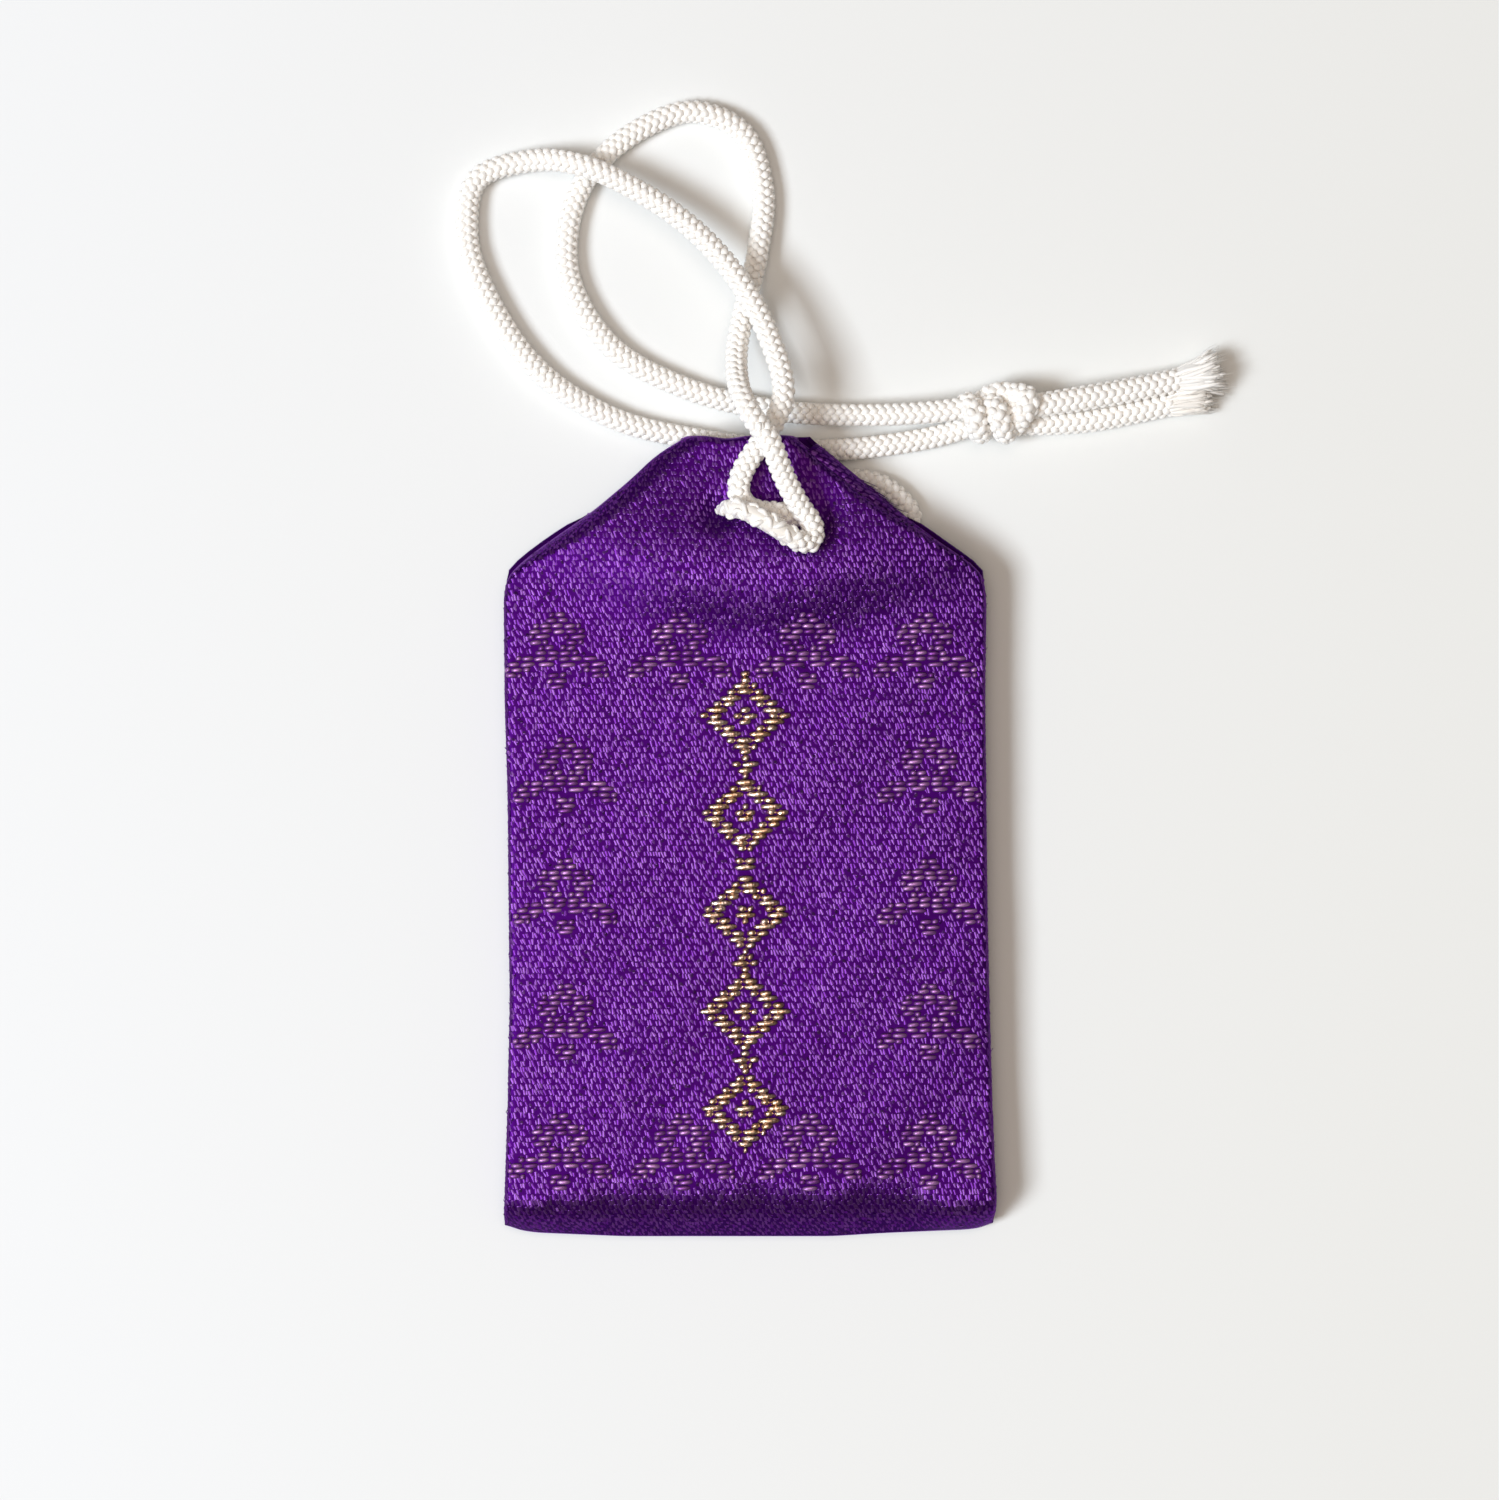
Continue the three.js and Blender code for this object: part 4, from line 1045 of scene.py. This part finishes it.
def rowRuns(inside, figure):  # rows of a figure cut into floats: start, end and height of each
    runs = []
    longest = figure["longest"]
    x = np.arange(-figure["halfWide"], figure["halfWide"], 0.05)
    for order, y in enumerate(np.arange(figure["halfTall"], -figure["halfTall"], -figure["rows"])):
        filled = np.r_[False, inside(x, np.full_like(x, y)), False]
        starts, ends = np.where(filled[1:] & ~filled[:-1])[0], np.where(~filled[1:] & filled[:-1])[0]
        for a, b in zip(starts, ends):
            start, end = x[a], x[b - 1]
            firstCut = start + longest * (0.55 if order % 2 else 1.0)  # staggered row by row
            cuts = [start] + list(np.arange(firstCut, end - 0.45, longest)) + [end]
            runs += [(c, d, y) for c, d in zip(cuts[:-1], cuts[1:]) if d - c > 0.4]
    return runs


def floatRows(name, runs, material, figure):  # each float is a closed strand that rises and dips back
    runs = np.array(runs, float)
    count, sides = len(runs), 6
    t = np.linspace(0, 1, 8)
    around = np.arange(sides) * fullTurn / sides
    x = runs[:, [0]] + (runs[:, [1]] - runs[:, [0]]) * t
    y = runs[:, [2]] + chance.normal(0, 0.03, (count, 1)) + chance.normal(0.07, 0.05, (count, 1)) * (t - 0.5)
    arch = 1 - np.abs(2 * t - 1) ** 2.6
    rise = figure["lift"] * chance.uniform(0.6, 1.3, (count, 1)) * arch - 0.10 * (1 - arch)
    rise = rise + chance.normal(0, 0.05, (count, 1)) * (t - 0.5)
    line = np.stack([x, y, frontHeight(x, y) + rise], axis=2)
    size = 0.55 + 0.45 * arch[:, None]
    sideways, upwards = figure["wide"] * size * np.cos(around), figure["thick"] * size * np.sin(around)
    ring = line[:, :, None, :] + np.stack([np.zeros_like(sideways), sideways, upwards], axis=2)
    yarns = strandMarks(x + 7.3 * np.arange(count)[:, None], sides)
    lucks = np.broadcast_to(chance.uniform(0, 1, (count, 1, 1, 1)), ring.shape)
    faces = [f[::-1] for i in range(count) for f in tubeFaces(len(t), sides, i * len(t) * sides)]
    marks = {"yarn": yarns.reshape(-1, 3), "luck": lucks.reshape(-1, 3)}
    piece = meshPiece(name, ring.reshape(-1, 3), faces, material, marks)
    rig.ride(piece, "pouch")
    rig.slot(piece, "brocade")
    return piece


sprig = {
    "halfWide": 5.0, "halfTall": 3.9, "rows": 0.52, "longest": 1.15,
    "wide": 0.235, "thick": 0.12, "lift": 0.12,
    "top": 17.6, "sides": [5.8, -5.7, -17.5], "bottom": -29.8, "sideColumns": (-17.3, 17.1),
    "columns": [(-18.1, -17.8), (-6.5, -6.2), (5.6, 5.8), (16.7, 17.1)],  # in the top and the bottom row
}
blossom = {"petals": 5, "up": 0.9, "out": 1.75, "petal": 1.12, "heart": 0.62}
leaf = {"out": 3.5, "down": 1.5, "long": 1.7, "wide": 0.85, "cosine": 0.9, "sine": 0.44}
bud = {"down": 2.75, "wide": 1.1, "tall": 0.9}


def blossomSprig(x, y):  # a five-petalled blossom between two leaves, over a bud
    filled = np.zeros(len(x), bool)
    for k in range(blossom["petals"]):
        a = math.radians(90 + 360 / blossom["petals"] * k)
        petalX, petalY = x - blossom["out"] * math.cos(a), y - blossom["up"] - blossom["out"] * math.sin(a)
        filled |= petalX**2 + petalY**2 < blossom["petal"] ** 2
    filled &= x**2 + (y - blossom["up"]) ** 2 > blossom["heart"] ** 2
    for sign in (1, -1):
        a, b = x * sign - leaf["out"], y + leaf["down"]
        along, off = a * leaf["cosine"] - b * leaf["sine"], a * leaf["sine"] + b * leaf["cosine"]
        filled |= (along / leaf["long"]) ** 2 + (off / leaf["wide"]) ** 2 < 1
    return filled | (x**2 / bud["wide"] + (y + bud["down"]) ** 2 / bud["tall"] < 1)


chain = {
    "halfWide": 4.6, "halfTall": 22.6, "rows": 0.57, "longest": 1.7,
    "wide": 0.295, "thick": 0.17, "lift": 0.22,
    "x": -0.3, "y": -7.2, "step": 9.3, "lozenge": (4.4, 3.95), "bead": (1.5, 1.0),
    "hollow": (0.28, 0.5),  # from the small lozenge inside to the outer one, as shares of its size
}


def lozengeChain(x, y):  # hollow lozenges with a small one inside, and beads between them
    step = chain["step"]
    fromMiddle = np.abs(y - np.round(y / step) * step)
    fromBead = np.abs(y - (np.floor(y / step) + 0.5) * step)
    near = np.abs(x) / chain["lozenge"][0] + fromMiddle / chain["lozenge"][1]
    bead = np.abs(x) / chain["bead"][0] + fromBead / chain["bead"][1]
    return ((near < 1) & (near > chain["hollow"][1])) | (near < chain["hollow"][0]) | (bead < 1)


places = [(x, sprig["top"]) for x, _ in sprig["columns"]]
places += [(x, y) for y in sprig["sides"] for x in sprig["sideColumns"]]
places += [(x, sprig["bottom"]) for _, x in sprig["columns"]]
sprigRuns = rowRuns(blossomSprig, sprig)
runs = [(a + x, b + x, c + y) for x, y in places for a, b, c in sprigRuns]
weftFloats = floatRows("brocade_weft_floats", runs, figureYarn("twistless rayon weft"), sprig)
runs = [(a + chain["x"], b + chain["x"], c + chain["y"]) for a, b, c in rowRuns(lozengeChain, chain)]
giltFloats = floatRows("brocade_gilt_floats", runs, figureYarn("gilt foil yarn"), chain)


def figured(x, y):  # where a figure takes the place of the satin
    up = y - chain["y"]
    filled = lozengeChain(x - chain["x"], up) & (np.abs(up) < chain["halfTall"])
    for a, b in places:
        filled |= blossomSprig(x - a, y - b)
    return filled


frontSpots = panelSpots(frontHeight, frontEdgeInset, 0.02)
frontWarp = warpFloats("front_panel_warp_floats", frontSpots, False, figured, 0.1)
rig.sheet(
    frontPanel, flat=(0.05, 0.084), held="stretched", rests_on=["card_stiffener"],
    with_pieces=[frontWarp, weftFloats, giltFloats],
)
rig.sheet(
    backPanel, flat=(0.05, 0.08), held="stretched", rests_on=["lining"], with_pieces=[backWarp, looseThreads],
)
print("brocade has", len(runs), "gilt floats")

# Inside: plain cotton lining, grey card, soft paper with long fibres, and a slip of straight-grained cypress
inner = {
    "lining": ("plain-woven cotton", "#e9e4da", "#d6cfc1", (1400.0, 1400.0, 1400.0), 0.85),
    "card_stiffener": ("pressed grey card", "#c9c4ba", "#aaa498", (260.0, 260.0, 900.0), 0.9),
    "paper_wrapper": ("soft mulberry paper", "#f6f2e6", "#e6dfca", (420.0, 90.0, 420.0), 0.9),
    "wooden_slip": ("straight-grained cypress", "#e6c796", "#c99f63", (900.0, 35.0, 900.0), 0.6),
}
for node, (name, light, dark, scale, roughness) in inner.items():
    material, tree, shade = newMaterial(name)
    place = addNode(tree, "TexCoord")
    stretch = addNode(tree, "Mapping", {"Vector": place.outputs["Object"], "Scale": scale})
    grained = {"Vector": stretch.outputs["Vector"], "Scale": 1.0}
    if node == "lining":  # threads 0.7 mm apart, drawn coarse so that they show
        grain = addNode(tree, "TexChecker", grained)
    else:
        grain = addNode(tree, "TexNoise", grained | {"Detail": 4.0})
    tone = addNode(tree, "Mix", {mixBy: grain.outputs["Fac"], mixA: dark, mixB: light}, data_type="RGBA")
    bump = addNode(tree, "Bump", {"Height": grain.outputs["Fac"], "Strength": 0.4, "Distance": 0.00005})
    setInputs(shade, {
        "Base Color": tone.outputs[mixed], "Roughness": roughness, "Normal": bump.outputs["Normal"],
    })
    frame["nodes"][node].data.materials.clear()
    frame["nodes"][node].data.materials.append(material)
print("inner pieces have their materials")

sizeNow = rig.bounds()
json.dump({"cad": [list(p) for p in cadBox], "visual": [list(p) for p in sizeNow]}, open("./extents.json", "w"))
